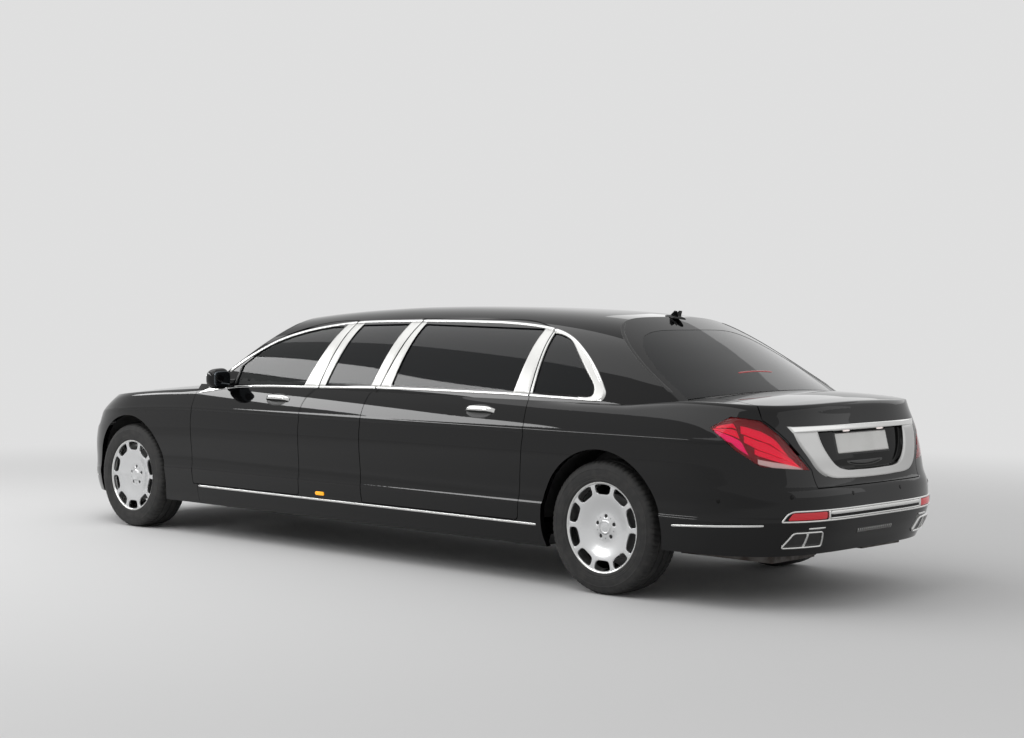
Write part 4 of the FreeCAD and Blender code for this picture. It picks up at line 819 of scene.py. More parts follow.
def superblock(low: Sequence[float], high: Sequence[float], power: float,
               steps: int) -> tuple[Array, list]:
    """Closed rounded block: a sphere's grid whose points are scaled to |x|^p + |y|^p + |z|^p = 1.

    Args:
        low: lowest corner.
        high: highest corner.
        power: squareness p.
        steps: grid steps from pole to pole.

    Returns:
        Points and faces.
    """
    up = np.linspace(0, math.pi, steps)
    turn = np.arange(2 * steps) * math.pi / steps
    ball = np.stack([np.sin(up)[:, None] * np.cos(turn), np.sin(up)[:, None] * np.sin(turn),
                     np.cos(up)[:, None] + 0 * turn], -1)
    size = (np.abs(ball) ** power).sum(-1, keepdims=True) ** (1 / power)
    low, high = np.asarray(low), np.asarray(high)
    points = ball / size * (high - low) / 2 + (high + low) / 2
    return points.reshape(-1, 3), list(grid_faces(steps, 2 * steps, False, True))


@dataclass
class Panels:
    """Painted panels and panes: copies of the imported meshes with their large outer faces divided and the
    body form's own normals, so that gloss reads smooth."""

    step: float = 0.020
    crease_step: float = 0.0072
    creases: tuple[Pair, ...] = ((0.462, 0.496), (0.862, 0.912))
    near: float = 0.003
    pane_near: float = 0.030
    rounding: float = 0.034
    agree: float = 0.88
    painted: tuple[str, ...] = ("body_side_left", "body_side_right", "roof", "front_fender_left",
                                "front_fender_right", "front_bumper", "rear_bumper", "bonnet", "boot_lid",
                                "door_front_left", "door_front_right", "door_rear_left", "door_rear_right")
    dark: tuple[str, ...] = ("rear_window", "fixed_side_glass", "door_glass_rear_left",
                             "door_glass_rear_right")
    light: tuple[str, ...] = ("windscreen", "door_glass_front_left", "door_glass_front_right")
    handles: tuple[Pair, ...] = ((0.618, 0.856), (-1.234, -0.996))
    handle_half: float = 0.03
    handle_rise: float = 0.0006
    lid_face_x: float = -2.9
    rounds: int = 11

    def build(self) -> None:
        """Dresses every panel and pane."""
        for names, finish in ((self.painted, PAINT), (self.dark, DARK_PANE), (self.light, LIGHT_PANE)):
            for name in names:
                self.dress(name, finish, finish is not PAINT)

    def dress(self, name: str, finish: Finish, pane: bool) -> None:
        """Replaces one node by its finely divided copy.

        Args:
            name: node and body name.
            finish: paint or glass.
            pane: whether both faces follow the form.
        """
        points, faces = self.merged(frame["nodes"][name].data)
        if name.startswith(("door_front", "door_rear")):
            faces = self.without_handle(points, faces)
        label = self.labels(points, faces, pane)
        points, faces, label = self.divided(points, faces, label)
        if name == "boot_lid":
            points = self.sunk(points, faces, label)
        mesh = bpy.data.meshes.new(f"{name}_dressed")
        mesh.from_pydata(points, [], faces.tolist())
        mesh.polygons.foreach_set("use_smooth", np.ones(len(faces), bool))
        mesh.update()
        mesh.normals_split_custom_set(self.normals(points, faces, label).reshape(-1, 3).tolist())
        body = frame["nodes"][name]["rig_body"]
        add(f"{name}_dressed", mesh, finish, body, [name], sharp=0.0)

    def sunk(self, points: Array, faces: Array, label: Array) -> Array:
        """Points of the lid with its outer skin moved inwards behind the number plate's tray.

        Args:
            points: points.
            faces: triangles.
            label: surface of each triangle.

        Returns:
            Points.
        """
        level, half = np.array(RECESS, float)[::-1].T
        outer = np.zeros(len(points), bool)
        outer[faces[label == 1]] = True
        inside = (np.abs(points[:, 1]) < np.interp(points[:, 2], level, half)) & outer
        inside &= (points[:, 2] > level[0]) & (points[:, 2] < level[-1]) & (points[:, 0] < self.lid_face_x)
        out = points.copy()
        out[inside, 0] += RECESS_DEPTH + 0.003
        return out

    def merged(self, mesh: bpy.types.Mesh) -> tuple[Array, Array]:
        """Points and triangles of a mesh with its doubles merged."""
        form = bmesh.new()
        form.from_mesh(mesh)
        bmesh.ops.remove_doubles(form, verts=form.verts, dist=1e-6)
        bmesh.ops.triangulate(form, faces=form.faces)
        copy = bpy.data.meshes.new("merged")
        form.to_mesh(copy)
        form.free()
        points = np.empty(len(copy.vertices) * 3)
        copy.vertices.foreach_get("co", points)
        faces = np.empty(len(copy.polygons) * 3, np.int32)
        copy.polygons.foreach_get("vertices", faces)
        bpy.data.meshes.remove(copy)
        return points.reshape(-1, 3), faces.reshape(-1, 3).astype(np.int64)

    def without_handle(self, points: Array, faces: Array) -> Array:
        """Triangles of a door less those of its plain handle, which stand outside the skin."""
        middle = points[faces].mean(1)
        p = np.abs(middle * [0, 1, 0]) + middle * [1, 0, 1]
        outside, _ = gradient(FORM.lower_field, p)
        near = np.zeros(len(faces), bool)
        for low, high in self.handles:
            near |= (middle[:, 0] > low) & (middle[:, 0] < high)
        level = np.abs(middle[:, 2] - HANDLE_Z) < self.handle_half
        return faces[~(near & level & (outside > self.handle_rise))]

    def labels(self, points: Array, faces: Array, pane: bool) -> Array:
        """Which surface of the form each triangle lies on: 0 none, then the number in fields().

        Args:
            points: points.
            faces: triangles.
            pane: whether to allow for the pane's depth and its inner face.

        Returns:
            A number for each triangle, negative where the triangle faces inwards.
        """
        corners = points[faces]
        flat = self.flat(corners)
        best = np.full(len(faces), self.pane_near if pane else self.near)
        label = np.zeros(len(faces), int)
        for number, field_of in enumerate(self.fields(), 1):
            distance, out = gradient(field_of, corners.reshape(-1, 3))
            distance = np.abs(distance).reshape(-1, 3).max(1)
            lean = (flat * unit(out.reshape(-1, 3, 3).mean(1))).sum(1)
            fits = (distance < best) & ((np.abs(lean) if pane else lean) > self.agree)
            best = np.where(fits, distance, best)
            label = np.where(fits, number * np.sign(lean).astype(int), label)
        return label

    def flat(self, corners: Array) -> Array:
        """Unit normals of triangles from their corners."""
        return unit(np.cross(corners[:, 1] - corners[:, 0], corners[:, 2] - corners[:, 0]))

    def fields(self) -> list[Callable[[Array], Array]]:
        """The form's surfaces, in the order of the labels."""
        return [FORM.lower_field, FORM.deck_field, FORM.cabin_field, FORM.screen_field, FORM.backlight_field]

    def divided(self, points: Array, faces: Array, label: Array) -> tuple[Array, Array, Array]:
        """Halves every edge that is too long on the outer skin, until none is; neighbours are split along.

        Args:
            points: points.
            faces: triangles.
            label: surface of each triangle.

        Returns:
            Points, triangles and labels.
        """
        for _ in range(self.rounds):
            pairs = np.sort(faces[:, [[0, 1], [1, 2], [2, 0]]], -1)
            keys = pairs[..., 0] * len(points) + pairs[..., 1]
            first, second = points[pairs[..., 0]], points[pairs[..., 1]]
            length = np.linalg.norm(first - second, axis=-1)
            limit = self.limits((first + second) / 2, length)
            marked = np.unique(keys[(length > limit) & (label == 1)[:, None]
                                    | (length > self.step) & (label != 0)[:, None]])
            if not len(marked):
                break
            number = np.clip(np.searchsorted(marked, keys), 0, len(marked) - 1)
            hit = marked[number] == keys
            middle = len(points) + number
            ends = points[marked // len(points)], points[marked % len(points)]
            points = np.concatenate([points, (ends[0] + ends[1]) / 2])
            faces, label = self.split(faces, label, hit, middle)
        return points, faces, label

    def limits(self, middle: Array, length: Array) -> Array:
        """Longest edge allowed at each place: finer along the creases of the sides."""
        level = middle[..., 2] + FORM.sink(middle[..., 0])
        near = np.zeros(length.shape, bool)
        for low, high in self.creases:
            near |= (level > low - length / 2) & (level < high + length / 2)
        near &= np.abs(middle[..., 1]) > 0.75
        return np.where(near, self.crease_step, self.step)

    def split(self, faces: Array, label: Array, hit: Array, middle: Array) -> tuple[Array, Array]:
        """Splits triangles by how many of their edges are halved.

        Args:
            faces: triangles.
            label: surface of each.
            hit: which of the edges 01, 12 and 20 are halved.
            middle: number of each edge's middle point.

        Returns:
            New triangles and labels.
        """
        count = hit.sum(1)
        lead = np.where(count == 1, hit.argmax(1), np.where(count == 2, ((~hit).argmax(1) + 1) % 3, 0))
        turn = (lead[:, None] + np.arange(3)) % 3
        v = np.take_along_axis(faces, turn, 1)
        m = np.take_along_axis(middle, turn, 1)
        a, b, c, ab, bc, ca = v[:, 0], v[:, 1], v[:, 2], m[:, 0], m[:, 1], m[:, 2]
        patterns = {0: [(a, b, c)], 1: [(a, ab, c), (ab, b, c)], 2: [(ab, b, bc), (a, ab, bc), (a, bc, c)],
                    3: [(a, ab, ca), (ab, b, bc), (ca, bc, c), (ab, bc, ca)]}
        out, marks = [], []
        for size, triangles in patterns.items():
            chosen = count == size
            for triangle in triangles:
                out.append(np.stack(triangle, -1)[chosen])
                marks.append(label[chosen])
        return np.concatenate(out), np.concatenate(marks)

    def normals(self, points: Array, faces: Array, label: Array) -> Array:
        """Corner normals: the form's gradient on labelled triangles, blended across the shoulder, else flat.

        Args:
            points: points.
            faces: triangles.
            label: surface of each triangle.

        Returns:
            Three normals for each triangle.
        """
        corners = points[faces]
        flat = self.flat(corners)
        out = np.repeat(flat[:, None], 3, 1)
        for number, field_of in enumerate(self.fields(), 1):
            for way in (1, -1):
                chosen = label == number * way
                if not chosen.any():
                    continue
                p = corners[chosen].reshape(-1, 3)
                normal = gradient(field_of, p)[1]
                if number in (1, 2):
                    normal = self.shoulder(p, normal, FORM.deck_field if number == 1 else FORM.lower_field)
                out[chosen] = way * normal.reshape(-1, 3, 3)
        return out

    def shoulder(self, p: Array, normal: Array, other: Callable[[Array], Array]) -> Array:
        """Normal turned towards the neighbouring surface near the edge that both share, as on a rounded edge:
        weight = (1 - depth / rounding) squared, at the front and rear decks only."""
        depth, lean = gradient(other, p)
        weight = np.clip(1 + depth / self.rounding, 0, 1) ** 2
        ends = np.clip((np.abs(p[:, 0]) - 1.5) / 0.3, 0, 1)
        return unit(normal + lean * (weight * ends)[:, None])


@dataclass
class Wheels:
    """Four tyres and dished wheels with ten rounded openings near the rim."""

    axles: tuple[tuple[str, float], ...] = (("front", 2.3645), ("rear", -2.0535))
    track_half: float = 0.800
    tyre_r: float = 0.371
    around: int = 160
    openings: int = 10
    ring: Pair = (0.172, 0.243)
    lug_ring: Pair = (0.042, 0.082)
    lugs: int = 5
    lug_r: float = 0.0612
    dot_drop: float = 0.0032
    blocks: int = 72
    thick: float = 0.014
    dish: Table = ((0, 76), (42, 76), (60, 74), (82, 71), (110, 76), (140, 86), (172, 97), (200, 102),
                   (243, 104), (256, 104))

    def build(self) -> None:
        """Builds the left wheels and their mirror images."""
        for place, x in self.axles:
            centre = np.array([x, self.track_half, self.tyre_r])
            body = f"wheel_{place}_left"
            both(f"{place}_tyre", self.tyre(centre), RUBBER, body, [f"tyre_{place}_left"])
            both(f"{place}_wheel", self.disc(centre), ALLOY, body, [f"wheel_{place}_left"])
            both(f"{place}_rim", revolved(self.rim_profile(), centre, self.around), BRIGHT, body)
            both(f"{place}_hub", self.hub(centre), ALLOY, body)
            both(f"{place}_lug_recess", self.recesses(centre), PLASTIC, body)

    def face_y(self, radius: Array) -> Array:
        """Height of the dish's face over the wheel's middle plane at a radius."""
        return smooth(self.dish, radius)

    def polar(self, centre: Array, radius: Array, angle: Array, y: Array) -> Array:
        """Points from radius, angle and height."""
        return np.stack([radius * np.cos(angle), y + 0 * radius, radius * np.sin(angle)], -1) + centre

    def holed(self, centre: Array, ring: Pair, count: int, size: Pair, place: float, powers: Pair,
              lean: float) -> list[tuple[Array, Sequence]]:
        """Ring of sectors, each with one rounded opening: between the opening's edge, a superellipse in angle
        and radius, and the sector's border the points lie on straight rays. The face rolls into the opening,
        and the same rays make the back.

        Args:
            centre: centre of the wheel.
            ring: inner and outer radius.
            count: openings round.
            size: half width of an opening as a share of its sector, and half height as a share of the ring.
            place: middle of the opening as a share of the ring's height.
            powers: squareness of the opening towards the hub and towards the rim.
            lean: turn of the first sector, in radians.

        Returns:
            One shape for each sector.
        """
        per = self.around // count
        side = np.linspace(-1, 1, per + 1)
        up = np.linspace(-1, 1, 9)
        half = np.concatenate([np.stack([side[:-1], 0 * side[:-1] - 1], -1),
                               np.stack([0 * up[:-1] + 1, up[:-1]], -1)])
        border = np.concatenate([half, -half])
        shift = np.array([0.0, 2 * place - 1])
        ray = border - shift
        power = np.where(ray[:, 1:] < 0, *powers)
        edge = ray / ((np.abs(ray / np.array(size)) ** power).sum(-1, keepdims=True)) ** (1 / power) + shift
        share = np.array([0, 0.03, 0.10, 0.22, 0.45, 0.7, 1.0])
        sunk = np.array([0.006, 0.0026, 0.0008, 0.0001, 0, 0, 0])
        flat = edge[:, None] + (border - edge)[:, None] * share[:, None]
        radius = ring[0] + (flat[..., 1] + 1) / 2 * (ring[1] - ring[0])
        y = self.face_y(radius) - sunk
        back = self.face_y(radius) - self.thick
        shapes = []
        for i in range(count):
            angle = lean + 2 * math.pi / count * (i + flat[..., 0] / 2)
            front = self.polar(centre, radius, angle, y)
            rear = self.polar(centre, radius, angle, back)
            grid = np.concatenate([rear[:, ::-1], front], 1)
            shapes.append((grid.reshape(-1, 3), grid_faces(len(border), grid.shape[1], True)))
        return shapes

    def faces_at(self, centre: Array, radius: Array) -> list[Array]:
        """Points of the dish's face and of its back, round the wheel at each radius."""
        angle = (np.arange(self.around) * 2 * math.pi / self.around)[:, None]
        radius = radius + 0 * angle
        return [self.polar(centre, radius, angle, self.face_y(radius) - depth) for depth in (0.0, self.thick)]

    def disc(self, centre: Array) -> tuple[Array, Sequence]:
        """Whole dish: hub ring with lug holes, plain dish, ring with the openings, closed at both edges."""
        shapes = self.holed(centre, self.lug_ring, self.lugs, (0.26, 0.52), 0.48, (2.0, 2.0), math.pi / 2)
        shapes += self.holed(centre, self.ring, self.openings, (0.79, 0.80), 0.56, (2.7, 6.0), math.pi / 10)
        front, back = self.faces_at(centre, np.linspace(self.lug_ring[1], self.ring[0], 14))
        faces = grid_faces(self.around, 14, True)
        shapes.append(joined([(front, faces), (back, faces[:, ::-1])]))
        for radius in (self.lug_ring[0], self.ring[1]):
            rows = np.concatenate(self.faces_at(centre, np.array([radius])), 1)
            shapes.append((rows.reshape(-1, 3), grid_faces(self.around, 2, True)))
        return joined(shapes)

    def rim_profile(self) -> Array:
        """Bright lip and barrel: (radius, y) pairs round the section."""
        lip = [(0.2505, -0.097), (0.2505, 0.100), (0.2552, 0.1075), (0.2555, 0.1095), (0.2548, 0.1108),
               (0.2530, 0.1114), (0.2500, 0.1110), (0.2462, 0.1092), (0.2435, 0.1065), (0.2418, 0.1030),
               (0.2405, 0.0960), (0.2390, 0.0860), (0.2300, 0.0700), (0.2275, 0.0500), (0.2275, -0.0850),
               (0.2330, -0.0970)]
        return np.array(lip)

    def hub(self, centre: Array) -> tuple[Array, Sequence]:
        """Plain centre cap with a raised ring."""
        profile = np.array([(0, 82), (8, 81.8), (20, 81), (27, 79.6), (29, 79.8), (31, 81.6), (33, 82.2),
                            (35, 81.6), (37, 79), (41, 76), (43, 72), (43, 60), (0, 60)]) * MM
        return revolved(profile, centre, 80)

    def recesses(self, centre: Array) -> tuple[Array, Sequence]:
        """Dark cups with a bolt head behind the five lug holes, and five small holes between them."""
        shapes = []
        bolt = np.array([(0, 68), (5.5, 68), (7.5, 66.5), (8, 61), (14, 59), (14, 57), (0, 57)]) * MM
        dot = np.array([(0, 77.6), (2.4, 77.4), (3.2, 76.6), (3.2, 68), (0, 68)]) * MM
        for i in range(self.lugs):
            for turn, drop, profile, steps in ((0.0, 0.0, bolt, 18), (0.5, self.dot_drop, dot, 14)):
                angle = math.pi / 2 + (i + turn) * 2 * math.pi / self.lugs
                shift = np.array([self.lug_r * math.cos(angle), -drop, self.lug_r * math.sin(angle)])
                shapes.append(revolved(profile, centre + shift, steps))
        return joined(shapes)

    def tyre(self, centre: Array) -> tuple[Array, Sequence]:
        """Tyre: a smooth section with fine rings on its walls, three grooves round its tread and blocks cut
        into both shoulders, depth = share of the shoulder times a squared-off wave round the wheel."""
        half = [(252.5, 112), (255, 115), (259, 117.2), (264, 119.2), (267, 119.4), (269, 118.4),
                (273, 119.0), (276, 119.9), (277.5, 120.7), (279, 120.0), (284, 121.0), (286, 121.8),
                (288, 121.2), (296, 122.3), (306, 122.4), (318, 121.6), (324, 121.0), (326, 121.8),
                (328, 120.6), (338, 118.4), (346, 115.6), (352, 112.6), (357, 109), (361.5, 104.5),
                (365, 99), (367.4, 92), (369, 84), (370, 72), (370.4, 62), (370.5, 56), (364, 54.6),
                (364, 49.4), (370.6, 48), (370.8, 36), (371, 20), (371, 6), (364.5, 4.6)]
        outer = np.array(half) * MM
        profile = np.concatenate([outer, outer[::-1] * [1, -1]])
        steps = 288
        turn = np.arange(steps) * 2 * math.pi / steps
        block = np.clip(np.sin(turn * self.blocks) * 3 - 1.6, 0, 1)
        share = np.clip((profile[:, 0] - 0.346) / 0.012, 0, 1) * (np.abs(profile[:, 1]) > 0.060)
        radius = profile[:, 0] - 0.0045 * block[:, None] * share
        points = np.stack([np.cos(turn)[:, None] * radius, profile[:, 1] + 0 * radius,
                           np.sin(turn)[:, None] * radius], -1) + centre
        return points.reshape(-1, 3), list(grid_faces(steps, len(profile), True, True))


def flank(x: Array, z: Array) -> tuple[Array, Array]:
    """Points of the car's left side and their outward normals: the lower body up to the waist, the cabin
    above."""
    x, z = np.broadcast_arrays(np.asarray(x, float), np.asarray(z, float))
    low = FORM.by_station(x, z)
    high = FORM.cabin(x, np.maximum(z, FORM.cabin_base))
    above = (z > 1.052)[..., None]
    points = np.where(above, high, low)
    flat = points.reshape(-1, 3)
    normal = np.where(above.reshape(-1, 1), gradient(FORM.cabin_field, flat)[1],
                      gradient(FORM.lower_field, flat)[1])
    return points, normal.reshape(points.shape)


def end_face(end: End, y: Array, z: Array, inset: Union[float, Array] = 0.0) -> tuple[Array, Array]:
    """Points of the nose or the tail, or as deep under it as the inset, and their outward normals."""
    y, z = np.broadcast_arrays(np.asarray(y, float), np.asarray(z, float))
    points = FORM.by_offset(end, y, z, inset)
    return points, gradient(FORM.lower_field, points.reshape(-1, 3))[1].reshape(points.shape)


def surface_at(end: End, inset: float = 0.0) -> Callable[[Array, Array], tuple[Array, Array]]:
    """The nose or tail as a function of place across the car and height, at a depth."""
    def at(y: Array, z: Array) -> tuple[Array, Array]:
        """Points and normals."""
        return end_face(end, y, z, inset)
    return at


def strip(path: tuple[Array, Array], width: float, height: float, closed: bool = False,
          power: float = 2.6, taper: bool = True) -> tuple[Array, list]:
    """Trim strip along a path of points and normals; its open ends taper a little."""
    points, normals = path
    scale = np.ones(len(points))
    if not closed and taper:
        reach = np.minimum(np.arange(len(points)), np.arange(len(points))[::-1])
        scale = np.clip(0.72 + 0.14 * reach, 0, 1)
    return sweep(points, normals, lens_profile(width, height, power), closed, scale)


def patch(at: Callable[[Array, Array], tuple[Array, Array]], corners: Sequence[Pair], thickness: float,
          rows: int = 24, columns: int = 10, power: float = 14.0) -> tuple[Array, list]:
    """Plate on a surface within four corners, filled by straight lines between two opposite edges.

    Args:
        at: surface as a function of two coordinates.
        corners: corners in the order a, b along one edge, then c, d along the opposite one, b next to c.
        thickness: height over the surface.
        rows: rows from a to b.
        columns: columns from edge to edge.
        power: sharpness of the rolled edge.

    Returns:
        Points and faces.
    """
    a, b, c, d = np.asarray(corners, float)
    u = np.linspace(0, 1, rows)[:, None, None]
    v = np.linspace(0, 1, columns)[None, :, None]
    flat = (1 - v) * ((1 - u) * a + u * b) + v * ((1 - u) * d + u * c)
    return plate(at(flat[..., 0], flat[..., 1]), thickness, power=power)


@dataclass
class SideTrim:
    """Bright strips, pillar plates, sill strips, handles and markers of the two sides."""

    belt: Table = ((1560, 998), (1247, 1040), (900, 1058), (495, 1065), (-124, 1080), (-534, 1083),
                   (-1000, 1083), (-1307, 1082), (-1450, 1079), (-1976, 1069))
    rail: Table = ((1344, 1142), (1328, 1152), (1154, 1266), (974, 1357), (783, 1417), (582, 1455),
                   (296, 1486), (-182, 1499), (-709, 1500), (-1128, 1490), (-1447, 1458), (-1625, 1408),
                   (-1775, 1326), (-1896, 1229), (-1998, 1111), (-2012, 1080))
    riders: tuple[str, ...] = ("door_front_left", "root", "door_rear_left", "root")
    belt_cuts: tuple[Pair, ...] = ((1.552, 0.386), (0.376, -0.152), (-0.163, -1.450), (-1.461, -1.990))
    rail_cuts: tuple[Pair, ...] = ((1.335, 0.300), (0.290, -0.307), (-0.318, -1.443), (-1.454, -1.955))
    strip_width: float = 0.016
    rail_width: float = 0.022
    handle_x: tuple[tuple[str, float], ...] = (("front", 0.848), ("rear", -1.004))
    handle_z: float = HANDLE_Z
    handle_length: float = 0.222
    handle_rise: float = 0.031
    cup_half: Pair = (0.104, 0.039)
    sill: tuple[float, float, float] = (1.55, -1.585, 0.3515)
    marker: tuple[float, float, float] = (0.318, 0.238, 0.392)
    rear_strip: tuple[float, float, float] = (-2.560, -3.060, 0.430)
    rear_strip_climb: float = -0.055

    def curve(self, table: Table, count: int = 400) -> Array:
        """Evenly spread (x, z) points of a line given in millimetres."""
        return spline(np.array(table, float) * MM, count)

    def span(self, line: Array, limits: Pair) -> tuple[Array, Array]:
        """Points and normals of a line between two stations."""
        x = line[:, 0]
        inside = line[(x < limits[0]) & (x > limits[1])]
        ends = [[limit, np.interp(-limit, -x, line[:, 1])] for limit in limits]
        full = np.concatenate([[ends[0]], inside, [ends[1]]])
        return flank(full[:, 0], full[:, 1])

    def build(self) -> None:
        """Builds every piece of both sides."""
        for name, line, cuts, width, height in (
                ("belt_strip", self.belt, self.belt_cuts, self.strip_width, 0.005),
                ("roof_strip", self.rail, self.rail_cuts, self.rail_width, 0.006)):
            line = self.curve(line)
            for i, (body, limits) in enumerate(zip(self.riders, cuts)):
                both(f"{name}_{i}", strip(self.span(line, limits), width, height), BRIGHT, body)
        flare = ((1.622, 0.986), (1.530, 1.019), (1.400, 1.031), (1.440, 1.006))
        both("belt_foot", patch(flank, flare, 0.004, 30, 8, 8.0), BRIGHT)
        self.pillars()
        self.quarter()
        self.sills()
        self.handles()

    def pillars(self) -> None:
        """Pale plates on the pillars, in pairs on each side of the shut lines."""
        plates = (
            ("door_front_left", ((0.372, 1.478), (0.532, 1.070), (0.3925, 1.070), (0.3045, 1.478))),
            ("root", ((0.2945, 1.479), (0.3815, 1.076), (0.326, 1.076), (0.222, 1.481))),
            ("root", ((-0.216, 1.492), (-0.108, 1.088), (-0.185, 1.088), (-0.3035, 1.492))),
            ("door_rear_left", ((-0.3145, 1.492), (-0.197, 1.088), (-0.284, 1.088), (-0.357, 1.492))),
            ("door_rear_left", ((-1.376, 1.462), (-1.327, 1.090), (-1.4495, 1.090), (-1.4465, 1.453))),
            ("root", ((-1.4565, 1.450), (-1.4595, 1.088), (-1.478, 1.088), (-1.470, 1.446))),
        )
        for i, (body, corners) in enumerate(plates):
            both(f"pillar_plate_{i}", patch(flank, corners, 0.003, 60, 10, 30.0), SATIN, body)
        divider = ((1.240, 1.180), (1.252, 1.062), (1.232, 1.062), (1.222, 1.192))
        both("glass_divider", patch(flank, divider, 0.002, 16, 6), SEAL, "door_front_left")

    def quarter(self) -> None:
        """Wide bright surround at the rear of the quarter window, from the pane's edge to the roof strip."""
        inner = ((-1.470, 1.438), (-1.560, 1.421), (-1.640, 1.390), (-1.735, 1.314), (-1.835, 1.222),
                 (-1.912, 1.146), (-1.924, 1.112), (-1.916, 1.092), (-1.890, 1.084), (-1.820, 1.083))
        outer = ((-1.470, 1.456), (-1.570, 1.434), (-1.680, 1.388), (-1.795, 1.318), (-1.902, 1.238),
                 (-1.980, 1.151), (-2.008, 1.106), (-1.998, 1.074), (-1.960, 1.061), (-1.820, 1.065))
        flat = between(spline(inner, 110), spline(outer, 110), 12)
        both("quarter_surround", plate(flank(flat[..., 0], flat[..., 1]), 0.0055, power=8.0), SATIN)

    def sills(self) -> None:
        """Bright sill strip, amber marker and the strip behind the rear wheel."""
        first, last, z = self.sill
        both("sill_strip", strip(flank(np.linspace(first, last, 260), z), 0.014, 0.006), BRIGHT)
        first, last, z = self.marker
        both("amber_marker", strip(flank(np.linspace(first, last, 20), z), 0.024, 0.007, power=4.0), AMBER)
        first, last, z = self.rear_strip
        x = np.linspace(first, last, 80)
        line = flank(x, z + (x - first) * self.rear_strip_climb)
        both("bumper_side_strip", strip(line, 0.012, 0.005), BRIGHT)

    def handles(self) -> None:
        """Bright bow over a dark oval cup on each door. The cup is a flat dark plate on the skin, whose
        darkness is painted shade for the hollow behind the handle. The bow rises from the skin at both ends
        by 1 - |2t - 1|^5, and its section is an upright oval."""
        t = np.linspace(0, 1, 48)
        for place, front in self.handle_x:
            points, normals = flank(front + 0.004 - t * (self.handle_length + 0.008), self.handle_z + 0 * t)
            rise = -0.004 + self.handle_rise * (1 - np.abs(2 * t - 1) ** 5)
            turn = np.linspace(0, 2 * math.pi, 20, endpoint=False)
            oval = np.stack([np.cos(turn) * 0.0155, np.sin(turn) * 0.0068], -1)
            scale = 0.8 + 0.2 * (1 - np.abs(2 * t - 1) ** 3)
            shape = sweep(points + normals * rise[:, None], normals, oval, scale=scale)
            both(f"{place}_handle", shape, BRIGHT, f"door_{place}_left")
            # The dark oval is painted shade: a flat plate on the skin in place of the handle's hollow.
            u = np.linspace(-1, 1, 40)[:, None]
            v = np.linspace(-1, 1, 16)[None, :]
            height = self.cup_half[1] * np.sqrt(1 - np.abs(u * 0.995) ** 2.4)
            x = front - self.handle_length / 2 + 0.006 - self.cup_half[0] * u + 0 * v
            cup = plate(flank(x, self.handle_z - 0.006 - v * height), 0.0012, power=6.0)
            both(f"{place}_handle_cup", cup, SEAL, f"door_{place}_left")


@dataclass
class Mirrors:
    """Door mirrors: rounded head on a foot, with a bright strip on its front and a glass behind."""

    centre: tuple[float, float, float] = (1.290, 0.976, 1.099)
    size: tuple[float, float, float] = (0.053, 0.086, 0.070)
    foot: tuple[Sequence[float], Sequence[float]] = ((1.262, 0.838, 1.036), (1.334, 0.915, 1.074))
    base: tuple[Pair, ...] = ((1.352, 1.046), (1.352, 1.092), (1.246, 1.100), (1.246, 1.046))
    ride: str = "door_front_left"

    def head(self) -> tuple[Array, Array]:
        """Grid of the head, from its inner to its outer end: sections are superellipses that shrink towards
        both ends by (1 - |u|^3.2)^(1/2.4); the outer end is lower than the inner one."""
        u = np.sin(np.linspace(-1, 1, 30) * math.pi / 2)[:, None]
        turn = (np.arange(40) * math.pi / 20)[None, :]
        shrink = (1 - np.abs(u) ** 3.2) ** (1 / 2.4)
        c, s = np.cos(turn), np.sin(turn)
        x = self.centre[0] + self.size[0] * shrink * np.sign(c) * np.abs(c) ** 0.75 - 0.012 * (u + 1) / 2
        z = self.centre[2] + self.size[2] * shrink * (1 - 0.10 * u) * np.sign(s) * np.abs(s) ** 0.75
        y = self.centre[1] + self.size[1] * u + 0 * turn
        return np.stack([x, y, z], -1), grid_faces(30, 40, False, True)

    def build(self) -> None:
        """Builds both mirrors on their doors."""
        head, faces = self.head()
        shell = joined([(head, faces), superblock(*self.foot, 3.2, 18)])
        both("mirror_shell", shell, PAINT, self.ride, ["mirror_left"])
        x, y, z = self.centre
        glass = superblock((x - 0.058, y - 0.070, z - 0.050), (x - 0.044, y + 0.066, z + 0.052), 4.0, 20)
        both("mirror_face", glass, MIRROR, self.ride)
        path = head[4:-3, 3]
        normal = unit(path - np.array([x - 0.03, 0, z]) * [1, 0, 1] - path * [0, 1, 0])
        both("mirror_strip", strip((path, normal), 0.011, 0.003), BRIGHT, self.ride)
        both("mirror_base", patch(flank, self.base, 0.004, 12, 12, 8.0), GLOSS_BLACK, self.ride)


